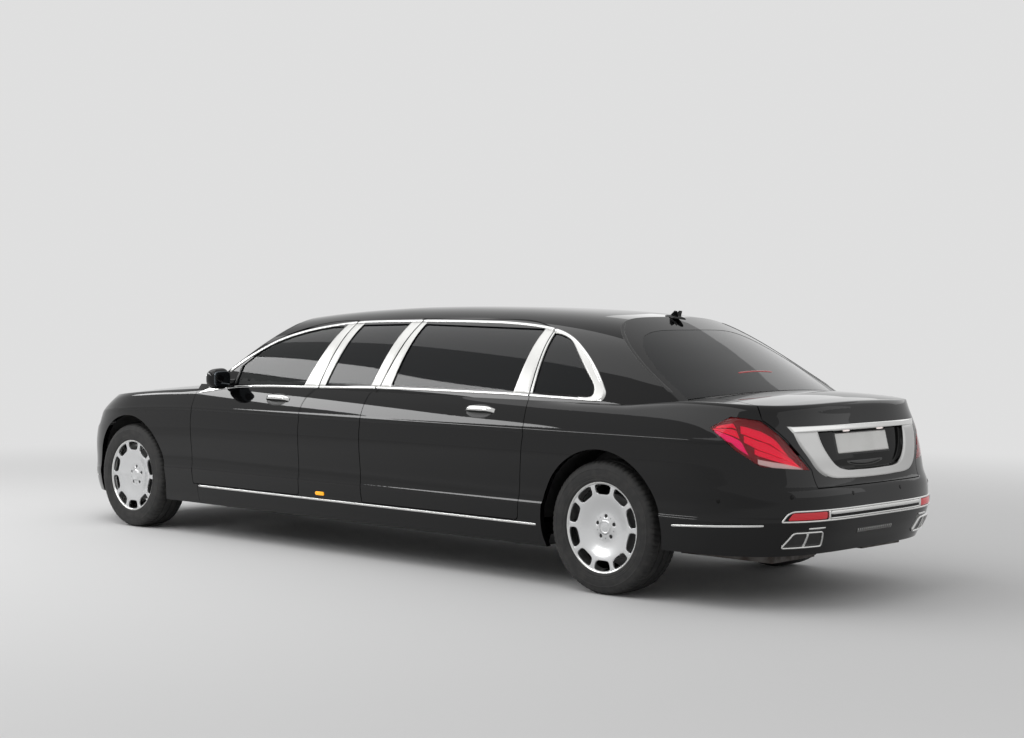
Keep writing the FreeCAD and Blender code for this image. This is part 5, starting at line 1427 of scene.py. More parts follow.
@dataclass
class TailLamps:
    """Rear lamps round the corners: deep red back, glowing slanted guides, pale reversing strip and lens."""

    top: Table = ((-1331, 956), (-1380, 990), (-1438, 1014), (-1510, 1012), (-1589, 994), (-1650, 956),
                  (-1708, 900), (-1780, 822), (-1855, 738))
    bottom: Table = ((-1331, 956), (-1380, 906), (-1452, 843), (-1515, 797), (-1579, 762), (-1650, 748),
                     (-1708, 745), (-1780, 741), (-1855, 738))
    bands: tuple[tuple[float, ...], ...] = ((0.70, 0.83, 0.14, 0.31, 0.02), (0.44, 0.64, 0.09, 0.33, 0.02),
                                            (0.60, 0.80, 0.36, 0.60, 0.09), (0.37, 0.57, 0.38, 0.72, 0.08),
                                            (0.23, 0.35, 0.45, 0.80, 0.05))
    pink: tuple[tuple[float, ...], ...] = ((0.12, 0.39, 0.12, 0.35, 0.06),)
    pale: tuple[tuple[float, ...], ...] = ((0.045, 0.15, 0.47, 0.93, 0.02, 1.5),)
    samples: int = 400

    def surface(self, s: Array, z: Array, depth: float = 0.0) -> tuple[Array, Array]:
        """Point of the tail's corner below (s, z): s runs square to the corner's diagonal, and the place
        along the diagonal is found by halving the interval where the body's field changes sign.

        Args:
            s: place across the diagonal.
            z: height.
            depth: depth under the surface.

        Returns:
            Points and outward normals.
        """
        s, z = np.broadcast_arrays(np.asarray(s, float), np.asarray(z, float))
        root = math.sqrt(0.5)
        low, high = np.full(s.shape, 1.5), np.full(s.shape, 3.8)
        for _ in range(32):
            t = (low + high) / 2
            p = np.stack([(s - t) * root, (s + t) * root, z], -1)
            inside = FORM.lower_field(p.reshape(-1, 3)).reshape(s.shape) < 0
            low, high = np.where(inside, t, low), np.where(inside, high, t)
        p = np.stack([(s - low) * root, (s + low) * root, z], -1)
        normal = gradient(FORM.lower_field, p.reshape(-1, 3))[1].reshape(p.shape)
        return p - normal * depth, normal

    def edge(self, table: Table, count: int) -> Array:
        """Points (s, z) along one edge of the outline, by their place along s."""
        t = np.linspace(0, 1, count)
        s = table[0][0] * MM + (table[-1][0] - table[0][0]) * MM * (0.5 - 0.5 * np.cos(t * math.pi))
        knots = np.array(table, float)[::-1].T * MM
        return np.stack([s, np.interp(s, knots[0], knots[1])], -1)

    def field(self, low: float, high: float, first: float, last: float, depth: float, thick: float,
              rows: int = 60, columns: int = 12) -> tuple[Array, list]:
        """Plate on the lamp between shares of its height and length.

        Args:
            low: lower edge as a share of the lamp's height.
            high: upper edge.
            first: start as a share of its length, from the side.
            last: end.
            depth: depth of its back under the surface.
            thick: thickness.
            rows: rows along the lamp.
            columns: columns over its height.

        Returns:
            Points and faces.
        """
        at = np.linspace(first, last, rows)[:, None]
        share = np.linspace(low, high, columns)[None, :]
        return plate(self.surface(*self.inside(at, share), depth), thick, sink=0.002, power=20.0)

    def inside(self, at: Array, share: Array) -> tuple[Array, Array]:
        """Places s and z inside the outline, from shares of its length and of its height."""
        count = self.samples
        lines = [line for table in (self.top, self.bottom) for line in self.edge(table, count).T]
        ends = [np.interp(at * (count - 1), np.arange(count), line) for line in lines]
        return ends[2] * (1 - share) + ends[0] * share, ends[3] * (1 - share) + ends[1] * share

    def build(self) -> None:
        """Builds the left lamp and its mirror image."""
        back = self.field(0.005, 0.995, 0.02, 0.985, 0.030, 0.004)
        both("tail_lamp_back", back, RED_DEEP, "root", ["tail_lamps"])
        both("tail_lamp_lens", self.field(0.0, 1.0, 0.004, 0.996, 0.004, 0.004, 90, 26), RED_PANE)
        for name, bands, finish in (("guides", self.bands, RED_GUIDE), ("side_guide", self.pink, PINK_GUIDE),
                                    ("strip", self.pale, PALE_GUIDE)):
            both(f"tail_lamp_{name}", joined([self.band(*band) for band in bands]), finish)

    def band(self, low: float, high: float, first: float, last: float, lean: float,
             grow: float = 0.0) -> tuple[Array, list]:
        """Light guide between shares of the lamp's height; its lower edge runs on by lean at the inner end,
        and its height grows by a share of itself towards that end."""
        rows = np.linspace(0, 1, 48)[:, None]
        share = np.linspace(low, high, 8)[None, :]
        fall = (share - low) / (high - low)
        share = low + (share - low) * (1 + grow * rows)
        at = first + (last - first) * rows + lean * rows * (1 - fall)
        return plate(self.surface(*self.inside(at, share), 0.016), 0.006, sink=0.002, power=8.0)


@dataclass
class BootTrim:
    """Bright bar, a wide silver band round the plate standing in for the reflection on the black paint there
    (a painted reflection), sunk tray, blank plate and a dark plate painted as the shade of the grip slot, of
    the boot lid.
    """

    bar: tuple[Pair, ...] = ((0.632, 0.965), (-0.632, 0.965), (-0.606, 0.931), (0.606, 0.931))
    outer: tuple[Pair, ...] = ((0.604, 0.934), (0.587, 0.880), (0.536, 0.800), (0.482, 0.730), (0.404, 0.691),
                               (0.218, 0.677), (0.0, 0.674))
    inner: tuple[Pair, ...] = ((0.428, 0.934), (0.412, 0.870), (0.376, 0.806), (0.318, 0.750), (0.240, 0.727),
                               (0.120, 0.722), (0.0, 0.720))
    tray_top: float = 0.934
    tray_middle: Pair = (0.0, 0.83)
    tray_wall: float = 0.07
    lamps: tuple[Pair, ...] = ((0.17, 0.9285), (-0.17, 0.9285))
    lamp_half: float = 0.03
    grip_half: float = 0.150
    slot_half: float = 0.185
    depth: float = RECESS_DEPTH

    def whole(self, half: Sequence[Pair], count: int) -> Array:
        """Smooth curve through a half outline and its mirror image."""
        return spline(list(half) + [(-y, z) for y, z in list(half)[-2::-1]], count)

    def tray(self) -> tuple[Array, list]:
        """Tray sunk into the lid: from its rim the outline shrinks towards a middle point, and the depth is
        depth * (1 - (1 - v/0.07)^3)^(1/3), v being the share of the way to that point."""
        rim = self.whole(self.inner, 160)
        top = np.stack([np.linspace(rim[-1, 0], rim[0, 0], 60)[1:-1], np.full(58, self.tray_top)], -1)
        rim = np.concatenate([rim, top])
        v = np.concatenate([np.linspace(0, self.tray_wall, 9), np.linspace(0.12, 1.0, 12)])
        flat = rim[:, None] + (np.array(self.tray_middle) - rim)[:, None] * v[None, :, None]
        sunk = self.depth * (1 - (1 - np.clip(v / self.tray_wall, 0, 1)) ** 3) ** (1 / 3) - 0.001
        y, z = flat[..., 0], flat[..., 1]
        return plate(end_face(End.TAIL, y, z, sunk[None, :] + 0 * y), 0.0008, 0.002, True, 60.0)

    def build(self) -> None:
        """Builds the lid's trim."""
        at = surface_at(End.TAIL)
        floor = surface_at(End.TAIL, self.depth - 0.001)
        made("boot_bar", patch(at, self.bar, 0.010, 120, 14, 5.0), BRIGHT, "boot_lid")
        # Silver band round the tray: a painted reflection, in place of the black paint's own reflection of
        # the lights.
        flat = between(self.whole(self.inner, 160), self.whole(self.outer, 160), 16)
        made("plate_surround", plate(at(flat[..., 0], flat[..., 1]), 0.0085, power=8.0), SILVER_PAINTED_REFLECTION, "boot_lid")
        made("plate_recess", self.tray(), GLOSS_BLACK, "boot_lid")
        for name, half, low, high, rise, finish in (
                ("number_plate_holder", 0.272, 0.797, 0.926, 0.005, PLASTIC),
                ("blank_number_plate", 0.262, 0.804, 0.919, 0.010, BLANK)):
            corners = ((half, high), (-half, high), (-half, low), (half, low))
            made(name, patch(floor, corners, rise, 40, 14, 40.0), finish, "boot_lid")
        # Dark crescent plate on the tray's floor: painted shade standing in for the recessed slot under the
        # grip.
        y = np.linspace(self.slot_half, -self.slot_half, 50)[:, None]
        v = np.linspace(0, 1, 10)[None, :]
        slot = floor(y + 0 * v, 0.768 - v * 0.034 * np.sqrt(1 - (y / (self.slot_half + 0.002)) ** 2))
        made("lid_grip_slot", plate(slot, 0.0015, power=8.0), SEAL, "boot_lid")
        y = np.linspace(self.grip_half, -self.grip_half, 40)
        grip = strip(floor(y, 0.757 - 0.012 * (1 - (y / self.grip_half) ** 2)), 0.008, 0.006)
        made("lid_grip", grip, GLOSS_BLACK, "boot_lid")
        lights = [strip(at(np.linspace(y + self.lamp_half, y - self.lamp_half, 8), z), 0.008, 0.004)
                  for y, z in self.lamps]
        made("plate_lamps", joined(lights), PALE_GUIDE, "boot_lid")


@dataclass
class RearBumperTrim:
    """Bright double bar with red reflectors, exhaust surrounds, ribbed vent and parking sensors."""

    frame_half: float = 0.742
    low: float = 0.474
    high: float = 0.532
    posts: Pair = (0.452, 0.468)
    outlet: tuple[Pair, ...] = ((0.462, 0.339), (0.710, 0.339), (0.674, 0.418), (0.492, 0.418))
    divider: tuple[Pair, ...] = ((0.574, 0.338), (0.580, 0.420), (0.594, 0.420), (0.590, 0.338))
    pipes: tuple[Pair, ...] = ((0.468, 0.343), (0.702, 0.343), (0.672, 0.414), (0.497, 0.414))
    over_bar: tuple[float, float, float] = (0.590, 0.475, 0.4365)
    sensors: tuple[float, ...] = (0.690, 0.240, -0.240, -0.690)
    sensor_z: float = 0.604
    side_sensor: Pair = (-2.840, 0.576)

    def loop(self, corners: Sequence[Pair], radii: Sequence[float], width: float, height: float,
             inset: float = 0.0) -> tuple[Array, list]:
        """Bright strip along a rounded outline of (y, z) on the tail."""
        line = outline(corners, radii, 14, 8)
        points, normals = end_face(End.TAIL, line[:, 0], line[:, 1])
        return strip((points - normals * inset, normals), width, height, True)

    def build(self) -> None:
        """Builds all of it."""
        f, a, b = self.frame_half, self.low, self.high
        at = surface_at(End.TAIL)
        corners = ((f - 0.002, a + 0.002), (f - 0.036, b - 0.003),
                   (-f + 0.036, b - 0.003), (-f + 0.002, a + 0.002))
        frame_loop = self.loop(corners, (0.006, 0.034, 0.034, 0.006), 0.011, 0.010)
        inner, outer = self.posts
        y = np.linspace(inner, -inner, 90)
        upper = strip(at(y, b - 0.018), 0.021, 0.012, power=4.0)
        lower = strip(at(y, a + 0.012), 0.010, 0.010, power=3.0)
        post = np.array([(inner, a), (inner, b), (outer, b), (outer, a)])
        posts = [patch(at, post * [way, 1], 0.010, 10, 8, 4.0) for way in (1, -1)]
        made("bumper_bars", joined([frame_loop, upper, lower] + posts), BRIGHT)
        back = ((f - 0.008, a), (-f + 0.008, a), (-f + 0.042, b), (f - 0.042, b))
        made("bumper_bar_back", patch(at, back, 0.002, 90, 10, 40.0), GLOSS_BLACK)
        lens = ((0.724, a + 0.009), (0.696, b - 0.010), (0.461, b - 0.010), (0.461, a + 0.009))
        # The reflectors glow: painted light, since a reflector is no lamp.
        both("reflector", patch(at, lens, 0.0055, 30, 10, 6.0), REFLECTOR_PAINTED_GLOW)
        self.outlets(at)
        self.vent(at)
        sensors = [self.button(at, y, self.sensor_z) for y in self.sensors]
        made("parking_sensors", joined(sensors), GLOSS_BLACK)
        both("side_sensor", self.button(flank, *self.side_sensor), GLOSS_BLACK)

    def disc(self, centre: Array, normal: Array, radius: float = 0.010) -> tuple[Array, list]:
        """Small round button: a low dome of rings, height = 2 mm * sqrt(1 - share^2)."""
        across = unit(np.cross(normal, [0.0, 0.0, 1.0]))
        up = np.cross(across, normal)
        turn = np.arange(24) * math.pi / 12
        share = np.array([1.15, 1.15, 1.0, 0.97, 0.8, 0.4, 0.0])
        height = np.array([-3.0, 0.6, 0.8, 0.4, 1.4, 1.9, 2.0]) * MM
        rim = np.cos(turn)[:, None, None] * across + np.sin(turn)[:, None, None] * up
        points = centre + rim * share[None, :, None] * radius + normal * height[None, :, None]
        faces = list(grid_faces(24, len(share), True)) + [[i * len(share) for i in range(24)]]
        return points.reshape(-1, 3), faces

    def button(self, at: Callable, along: float, z: float) -> tuple[Array, list]:
        """Sensor at a place of the tail or of the side."""
        points, normals = at(np.array([[along]]), np.array([[z]]))
        return self.disc(points[0, 0], normals[0, 0])

    def outlets(self, at: Callable) -> None:
        """Bright trapezoid frames with a dividing bar, a smaller bar above, and dark pipes inside."""
        ring = self.loop(self.outlet, (0.016, 0.016, 0.016, 0.016), 0.011, 0.014, 0.002)
        middle = patch(at, self.divider, 0.006, 10, 8, 4.0)
        outer, inner, z = self.over_bar
        above = strip(at(np.linspace(outer, inner, 20), z), 0.010, 0.006)
        both("outlet_frame", joined([ring, middle, above]), BRIGHT)
        both("outlet_inside", patch(at, self.pipes, 0.0015, 16, 12, 40.0), SEAL)

    def vent(self, at: Callable) -> None:
        """Row of slanted pale ribs over a dark back."""
        back = ((0.180, 0.382), (-0.180, 0.382), (-0.180, 0.412), (0.180, 0.412))
        made("rear_vent_back", patch(at, back, 0.002, 30, 6, 30.0), PLASTIC)
        rib = np.array([(0.0, 0.385), (0.006, 0.409), (0.013, 0.409), (0.007, 0.385)])
        ribs = [patch(at, rib + [y, 0.0], 0.006, 6, 5, 6.0) for y in np.linspace(-0.174, 0.158, 18)]
        made("rear_vent", joined(ribs), SATIN)


@dataclass
class RearWindowParts:
    """Seal round the rear window and windscreen, third brake light and wipers."""

    brake_half: float = 0.165
    brake_z: float = 1.222
    seal_levels: tuple[tuple[End, Pair], ...] = ((End.TAIL, (1.125, 1.500)), (End.NOSE, (1.065, 1.480)))
    wiper_spans: tuple[tuple[str, Pair], ...] = (("right", (-0.62, 0.02)), ("left", (0.02, 0.64)))
    wiper_z: float = 1.094

    def screen_line(self, end: End, y: Array, z: Array, out: float) -> tuple[Array, Array]:
        """Points and normals of the windscreen's or rear window's face."""
        face, field_of = ((FORM.backlight, FORM.backlight_field) if end is End.TAIL
                          else (FORM.screen, FORM.screen_field))
        points = np.stack([face(y, z), y, z], -1)
        normals = gradient(field_of, points.reshape(-1, 3))[1].reshape(points.shape)
        return points + normals * out, normals

    def build(self) -> None:
        """Builds these parts."""
        y = np.linspace(self.brake_half, -self.brake_half, 40)
        z = self.brake_z + 0.006 * (1 - (y / self.brake_half) ** 2)
        made("third_brake_light", strip(self.screen_line(End.TAIL, y, z, -0.0035), 0.014, 0.0048), BRAKE_RED)
        self.seals()
        self.wipers()

    def seals(self) -> None:
        """Black lines along the side edges of both screens."""
        for end, levels in self.seal_levels:
            z = np.linspace(*levels, 80)
            y = np.full(80, 0.6)
            for _ in range(30):
                x = (FORM.backlight if end is End.TAIL else FORM.screen)(y, z)
                y = 0.5 * y + 0.5 * FORM.cabin(x, z)[:, 1]
            edge = self.screen_line(end, y - 0.008, z, -0.001)
            both(f"{end.name.lower()}_screen_seal", strip(edge, 0.022, 0.003), SEAL)

    def wipers(self) -> None:
        """Two arms with blades along the windscreen's foot."""
        for name, span in self.wiper_spans:
            y = np.linspace(*span, 60)
            lift = self.wiper_z + 0.030 * np.sin(np.linspace(0, math.pi, 60)) - 0.055 * (y / 0.7) ** 2
            blade = strip(self.screen_line(End.NOSE, y, lift, 0.004), 0.016, 0.012, power=2.2)
            made(f"wiper_{name}", blade, SEAL)


@dataclass
class RoofAerial:
    """Low teardrop base with two thin fins, swept back and leaning outwards, at the rear of the roof."""

    x: float = -1.855
    half: Pair = (0.074, 0.034)
    rise: float = 0.013
    foot: Pair = (0.034, -0.030)
    tip: Pair = (-0.010, -0.030)
    lean: Pair = (0.013, 0.025)
    tall: float = 0.036

    def ground(self, x: Array, y: Array) -> Array:
        """Height of the roof under points of a grid."""
        return FORM.roof(x.ravel(), y.ravel()).reshape(x.shape)

    def base(self) -> tuple[Array, list]:
        """Dome whose height is rise * sqrt(1 - r^3), r being the share of the way from its middle to its rim;
        the rim is an oval that is wider in front by 1 + 0.18 cos(turn)."""
        turn = (np.arange(48) * math.pi / 24)[:, None]
        r = np.array([1.0, 1.0, 0.985, 0.95, 0.88, 0.78, 0.6, 0.3, 0.0])[None, :]
        x = self.x + self.half[0] * r * np.cos(turn)
        y = self.half[1] * r * np.sin(turn) * (1 + 0.18 * np.cos(turn))
        height = self.rise * np.sqrt(1 - r ** 3)
        height[:, 0] = -0.004
        faces = list(grid_faces(48, r.size, True)) + [[i * r.size for i in range(48)]]
        return np.stack([x, y, self.ground(x, y) + height], -1).reshape(-1, 3), faces

    def fin(self) -> tuple[Array, list]:
        """Blade of the left side, between its foot on the base and its shorter tip."""
        s = np.linspace(0, 1, 24)[:, None]
        t = np.linspace(0, 1, 16)[None, :]
        low, high = (end[0] * (1 - s) + end[1] * s for end in (self.foot, self.tip))
        x = self.x + low * (1 - t) + high * t
        y = self.lean[0] + (self.lean[1] - self.lean[0]) * t + 0 * s
        points = np.stack([x, y, self.ground(x, 0 * y) + 0.006 + self.tall * t + 0 * s], -1)
        normals = np.broadcast_to(unit(np.array([0.0, self.tall, self.lean[0] - self.lean[1]])), points.shape)
        return plate((points, normals), 0.0034, 0.0008, power=3.0)

    def build(self) -> None:
        """Builds the aerial."""
        points, faces = self.fin()
        blades = [(mirrored(points, side), faces) for side in Side]
        made("roof_aerial", joined([self.base()] + blades), PAINT, "root", ["aerial"])


@dataclass
class Front:
    """Headlamps, grille back, lower intake and lamp strips of the nose."""

    top: tuple[Pair, ...] = ((0.434, 0.720), (0.520, 0.748), (0.600, 0.767), (0.760, 0.790), (0.902, 0.789))
    bottom: tuple[Pair, ...] = ((0.434, 0.664), (0.540, 0.655), (0.640, 0.650), (0.790, 0.669),
                                (0.902, 0.744))
    unit_profile: Table = ((0, 8), (0.6, 7.4), (0.86, 4.0), (0.9, 1), (1.0, 3), (1.08, 1), (1.08, -26),
                           (0, -26))
    units: tuple[tuple[float, float, float], ...] = ((0.585, 0.705, 0.026), (0.700, 0.716, 0.028))
    intake_half: float = 0.530
    cell: Pair = (0.022, 0.016)

    def lamp_grid(self, depth: float, rows: int, columns: int) -> tuple[Array, Array]:
        """Points and normals of the lamp's face between its lower and upper edges, at a depth."""
        flat = between(spline(self.top, rows), spline(self.bottom, rows), columns)
        points, normals = end_face(End.NOSE, flat[..., 0], flat[..., 1])
        return points - normals * depth, normals

    def build(self) -> None:
        """Builds the nose's parts."""
        housing = plate(self.lamp_grid(0.046, 50, 16), 0.004, 0.004, power=30.0)
        both("headlamp_housing", housing, PLASTIC, "root", ["headlamps"])
        both("headlamp_lens", plate(self.lamp_grid(0.005, 60, 22), 0.003, 0.002, power=20.0), CLEAR_PANE)
        shapes = []
        for y, z, radius in self.units:
            points, normals = end_face(End.NOSE, np.array([[y]]), np.array([[z]]))
            shapes.append(self.unit_lamp(points[0, 0] - normals[0, 0] * 0.018, radius))
        both("headlamp_units", joined(shapes), ALLOY)
        upper = spline(self.top, 60)[4:-4] - [0, 0.012]
        points, normals = end_face(End.NOSE, upper[:, 0], upper[:, 1])
        both("day_light_strip", strip((points - normals * 0.016, normals), 0.009, 0.005), PALE_GUIDE)
        self.openings()

    def unit_lamp(self, centre: Array, radius: float) -> tuple[Array, list]:
        """Round lamp unit pointing forwards: pairs of radius as a share and depth in millimetres."""
        turn = (np.arange(40) * math.pi / 20)[:, None]
        share, depth = np.array(self.unit_profile).T
        points = np.stack([0 * turn + depth * MM, np.cos(turn) * share * radius,
                           np.sin(turn) * share * radius], -1) + centre
        return points.reshape(-1, 3), list(grid_faces(40, len(share), True, True))

    def openings(self) -> None:
        """Dark mesh behind the grille and in the lower intake, and a bright strip under the grille."""
        for name, half, low, high, depth in (("grille_mesh", 0.340, 0.400, 0.838, 0.075),
                                             ("intake_mesh", self.intake_half, 0.252, 0.382, 0.038)):
            y = np.linspace(half, -half, 161)[:, None]
            z = np.linspace(low, high, 61)[None, :]
            points, normals = end_face(End.NOSE, y + 0 * z, z + 0 * y)
            cell = np.maximum(np.sin(y * 2 * math.pi / self.cell[0]), np.sin(z * 2 * math.pi / self.cell[1]))
            woven = points - normals * (depth - 0.002 * cell)[..., None]
            made(name, plate((woven, normals), 0.002, 0.004, power=40.0), PLASTIC)
        y = np.linspace(0.50, -0.50, 90)
        lip = end_face(End.NOSE, y, 0.386 - 0.02 * np.abs(y) ** 2)
        made("intake_strip", strip(lip, 0.012, 0.007), BRIGHT)
        y = np.linspace(0.86, 0.60, 30)
        both("bumper_front_strip", strip(end_face(End.NOSE, y, 0.340 + 0 * y), 0.012, 0.006), BRIGHT)


@dataclass
class Seat:
    """One armchair: sizes of its cushion, leaning back and head rest, in metres."""

    name: str
    x: float
    y: float
    floor: float
    sit: float
    top: float
    width: float
    depth: float
    facing: int


@dataclass
class Cabin:
    """Seats of the cabin, on both sides."""

    seats: tuple[Seat, ...] = (
        Seat("front_seat", 0.480, 0.370, 0.262, 0.520, 1.050, 0.500, 0.530, 1),
        Seat("rear_seat", -1.940, 0.345, 0.450, 0.600, 1.080, 0.600, 0.520, 1),
        Seat("facing_seat", -0.180, 0.345, 0.262, 0.510, 0.930, 0.460, 0.420, -1))
    voxel: float = 0.016
    pressure: float = 4.0
    frames: int = 20
    swell: float = 0.008
    channel: float = 0.007
    recline: float = 0.26
    fill: float = 0.7

    def pad(self, box: tuple[Array, Array], lean: float, grooves: int) -> tuple[Array, list]:
        """Upholstered block: a rounded block swollen as cloth under pressure, with sewn channels along it,
        leaned back. A channel is a dent of channel * exp(-(distance / width)^2).

        Args:
            box: lowest and highest corner.
            lean: shift along x per metre of height.
            grooves: sewn channels.

        Returns:
            Points and faces.
        """
        low, high = box[0] + self.swell, box[1] - self.swell
        points, faces = self.swollen(superblock(low, high, 4.6, 40))
        middle, size = (low + high) / 2, (high - low) / 2
        u = (points - middle) / size
        dent = self.channel * np.exp(-(((u[:, 1] * grooves + 40.5) % 1.0 - 0.5) / 0.10) ** 2)
        dent = dent * (np.abs(u[:, 1]) < 0.72)
        points = points - unit(points - middle) * dent[:, None]
        points[:, 0] += (points[:, 2] - low[2]) * lean
        return points, faces

    def swollen(self, shape: tuple[Array, Sequence]) -> tuple[Array, list]:
        """Closed shape remeshed evenly and blown up as cloth, each point held within the swell, then
        subdivided once.

        Args:
            shape: points and faces.

        Returns:
            Points and faces.
        """
        scene = bpy.context.scene
        work = bpy.data.objects.new("pad_work", fresh_mesh("pad_work", *shape))
        scene.collection.objects.link(work)
        remesh = work.modifiers.new("even", "REMESH")
        remesh.mode = "VOXEL"
        remesh.voxel_size = self.voxel
        self.freeze(work)
        start = self.places(work.data)
        cloth = work.modifiers.new("cloth", "CLOTH")
        cloth.settings.use_pressure = True
        cloth.settings.uniform_pressure_force = self.pressure
        cloth.settings.effector_weights.gravity = 0.0
        cloth.point_cache.frame_start, cloth.point_cache.frame_end = 1, self.frames
        for step in range(1, self.frames + 1):
            scene.frame_set(step)
        self.freeze(work)
        scene.frame_set(1)
        move = self.places(work.data) - start
        size = np.linalg.norm(move, axis=1, keepdims=True) + 1e-9
        start = start + move * np.minimum(1.0, self.swell * 1.4 / size)
        work.data.vertices.foreach_set("co", start.ravel())
        divide = work.modifiers.new("fine", "SUBSURF")
        divide.levels = divide.render_levels = 1
        self.freeze(work)
        points = self.places(work.data)
        faces = [list(face.vertices) for face in work.data.polygons]
        mesh = work.data
        bpy.data.objects.remove(work)
        bpy.data.meshes.remove(mesh)
        return points, faces

    def freeze(self, work: bpy.types.Object) -> None:
        """Applies an object's modifiers."""
        shown = work.evaluated_get(bpy.context.evaluated_depsgraph_get())
        mesh = bpy.data.meshes.new_from_object(shown)
        work.modifiers.clear()
        work.data = mesh

    def places(self, mesh: bpy.types.Mesh) -> Array:
        """Points of a mesh as an array."""
        points = np.empty(len(mesh.vertices) * 3)
        mesh.vertices.foreach_get("co", points)
        return points.reshape(-1, 3)

    def seat(self, seat: Seat) -> None:
        """Cushion, back and head rest over a dark base, on both sides of the car."""
        f, half = seat.facing, seat.width / 2
        node = "front_seats" if seat.name == "front_seat" else "rear_cabin_seats"

        def box(x: Sequence[float], across: float, z: Pair) -> tuple[Array, Array]:
            """Lowest and highest corner of a block about the seat's middle plane."""
            return np.array([x[0], seat.y - across, z[0]]), np.array([x[1], seat.y + across, z[1]])

        sit, top, lean = seat.sit, seat.top, -f * self.recline
        long = sorted((seat.x + f * 0.02, seat.x + f * (seat.depth + 0.004)))
        thick = sorted((seat.x - f * 0.008, seat.x - f * 0.112))
        far = seat.x - f * (self.recline * (top - sit) + 0.044)
        pads = {"cushion": self.pad(box(long, half - 0.006, (sit - 0.150, sit)), 0.0, 3),
                "back": self.pad(box(thick, half - 0.010, (sit - 0.06, top)), lean, 3),
                "head_rest": self.pad(box((far - 0.040, far + 0.040), 0.135, (top + 0.014, top + 0.150)),
                                      lean * 0.2, 1)}
        foot = (seat.floor + 0.001, sit - 0.10)
        base = superblock(*box((long[0] + 0.012, long[1] - 0.03), half - 0.03, foot), 9.0, 14)
        post = superblock(*box((far - 0.008, far + 0.008), 0.05, (top - 0.04, top + 0.03)), 4.0, 10)
        for side in Side:
            for part, (points, faces) in pads.items():
                piece = made(f"{seat.name}_{part}_{side.word}", (mirrored(points, side), faces), HIDE, "root",
                             [node] if part == "cushion" else [])
            made(f"{seat.name}_base_{side.word}", (mirrored(base[0], side), base[1]), PLASTIC)
            made(f"{seat.name}_post_{side.word}", (mirrored(post[0], side), post[1]), BRIGHT)

    def build(self) -> None:
        """Builds the cabin's parts."""
        for seat in self.seats:
            self.seat(seat)


@dataclass
class BootLedges:
    """Grained ledges and upright panels between the boot's floor and the body sides and wheel arches."""

    reach: Pair = (-2.615, -3.085)
    first: float = 0.600
    last: float = 1.2
    level: float = 0.4425
    inset: float = 0.018
    panel_x: float = -2.662
    panel_top: float = 0.640

    def flat(self, inner: Array, outer: Array, normal: Sequence[float], thick: float) -> tuple[Array, list]:
        """Flat plate between two lines."""
        points = between(inner, outer, 12)
        return plate((points, np.broadcast_to(np.array(normal), points.shape)), thick, 0.002, power=60.0)

    def build(self) -> None:
        """Builds both sides; a ledge's far edge is found by halving the interval where the body's field
        changes sign."""
        x = np.linspace(*self.reach, 60)
        low, high = np.full(60, self.first), np.full(60, self.last)
        for _ in range(30):
            y = (low + high) / 2
            inside = FORM.lower_field(np.stack([x, y, 0 * x + self.level], -1)) < 0
            low, high = np.where(inside, y, low), np.where(inside, high, y)
        inner = np.stack([x, 0 * x + self.first, 0 * x + self.level], -1)
        outer = np.stack([x, low - self.inset, 0 * x + self.level], -1)
        ledge = self.flat(inner, outer, (0.0, 0.0, 1.0), 0.0065)
        z = np.linspace(self.level, self.panel_top, 20)
        inner = np.stack([0 * z + self.panel_x, 0 * z + self.first, z], -1)
        outer = np.stack([0 * z + self.panel_x, FORM.side(inner[:, 0], z) - self.inset, z], -1)
        panel = self.flat(inner, outer, (-1.0, 0.0, 0.0), 0.004)
        both("boot_ledge", joined([ledge, panel]), PLASTIC)


@dataclass
class CarriedNodes:
    """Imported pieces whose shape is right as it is: each gets its finish."""

    finishes: tuple[tuple[Finish, tuple[str, ...]], ...] = (
        (PLASTIC, ("scuttle", "arch_liners")),
        (COATED, ("floor_pan",)),
        (CAST, ("front_suspension", "knuckle_left", "knuckle_right", "rear_suspension", "engine_block")),
        (PIPE, ("exhaust",)),
        (BRIGHT, ("grille",)),
        (DASH_HIDE, ("dashboard", "steering_wheel", "partition")))

    def build(self) -> None:
        """Puts each finish in the node's material slots."""
        for finish, names in self.finishes:
            for name in names:
                mesh = frame["nodes"][name].data
                mesh.materials.clear()
                mesh.materials.append(finish.material())
                LOG.info("%s: %s", name, finish.name)


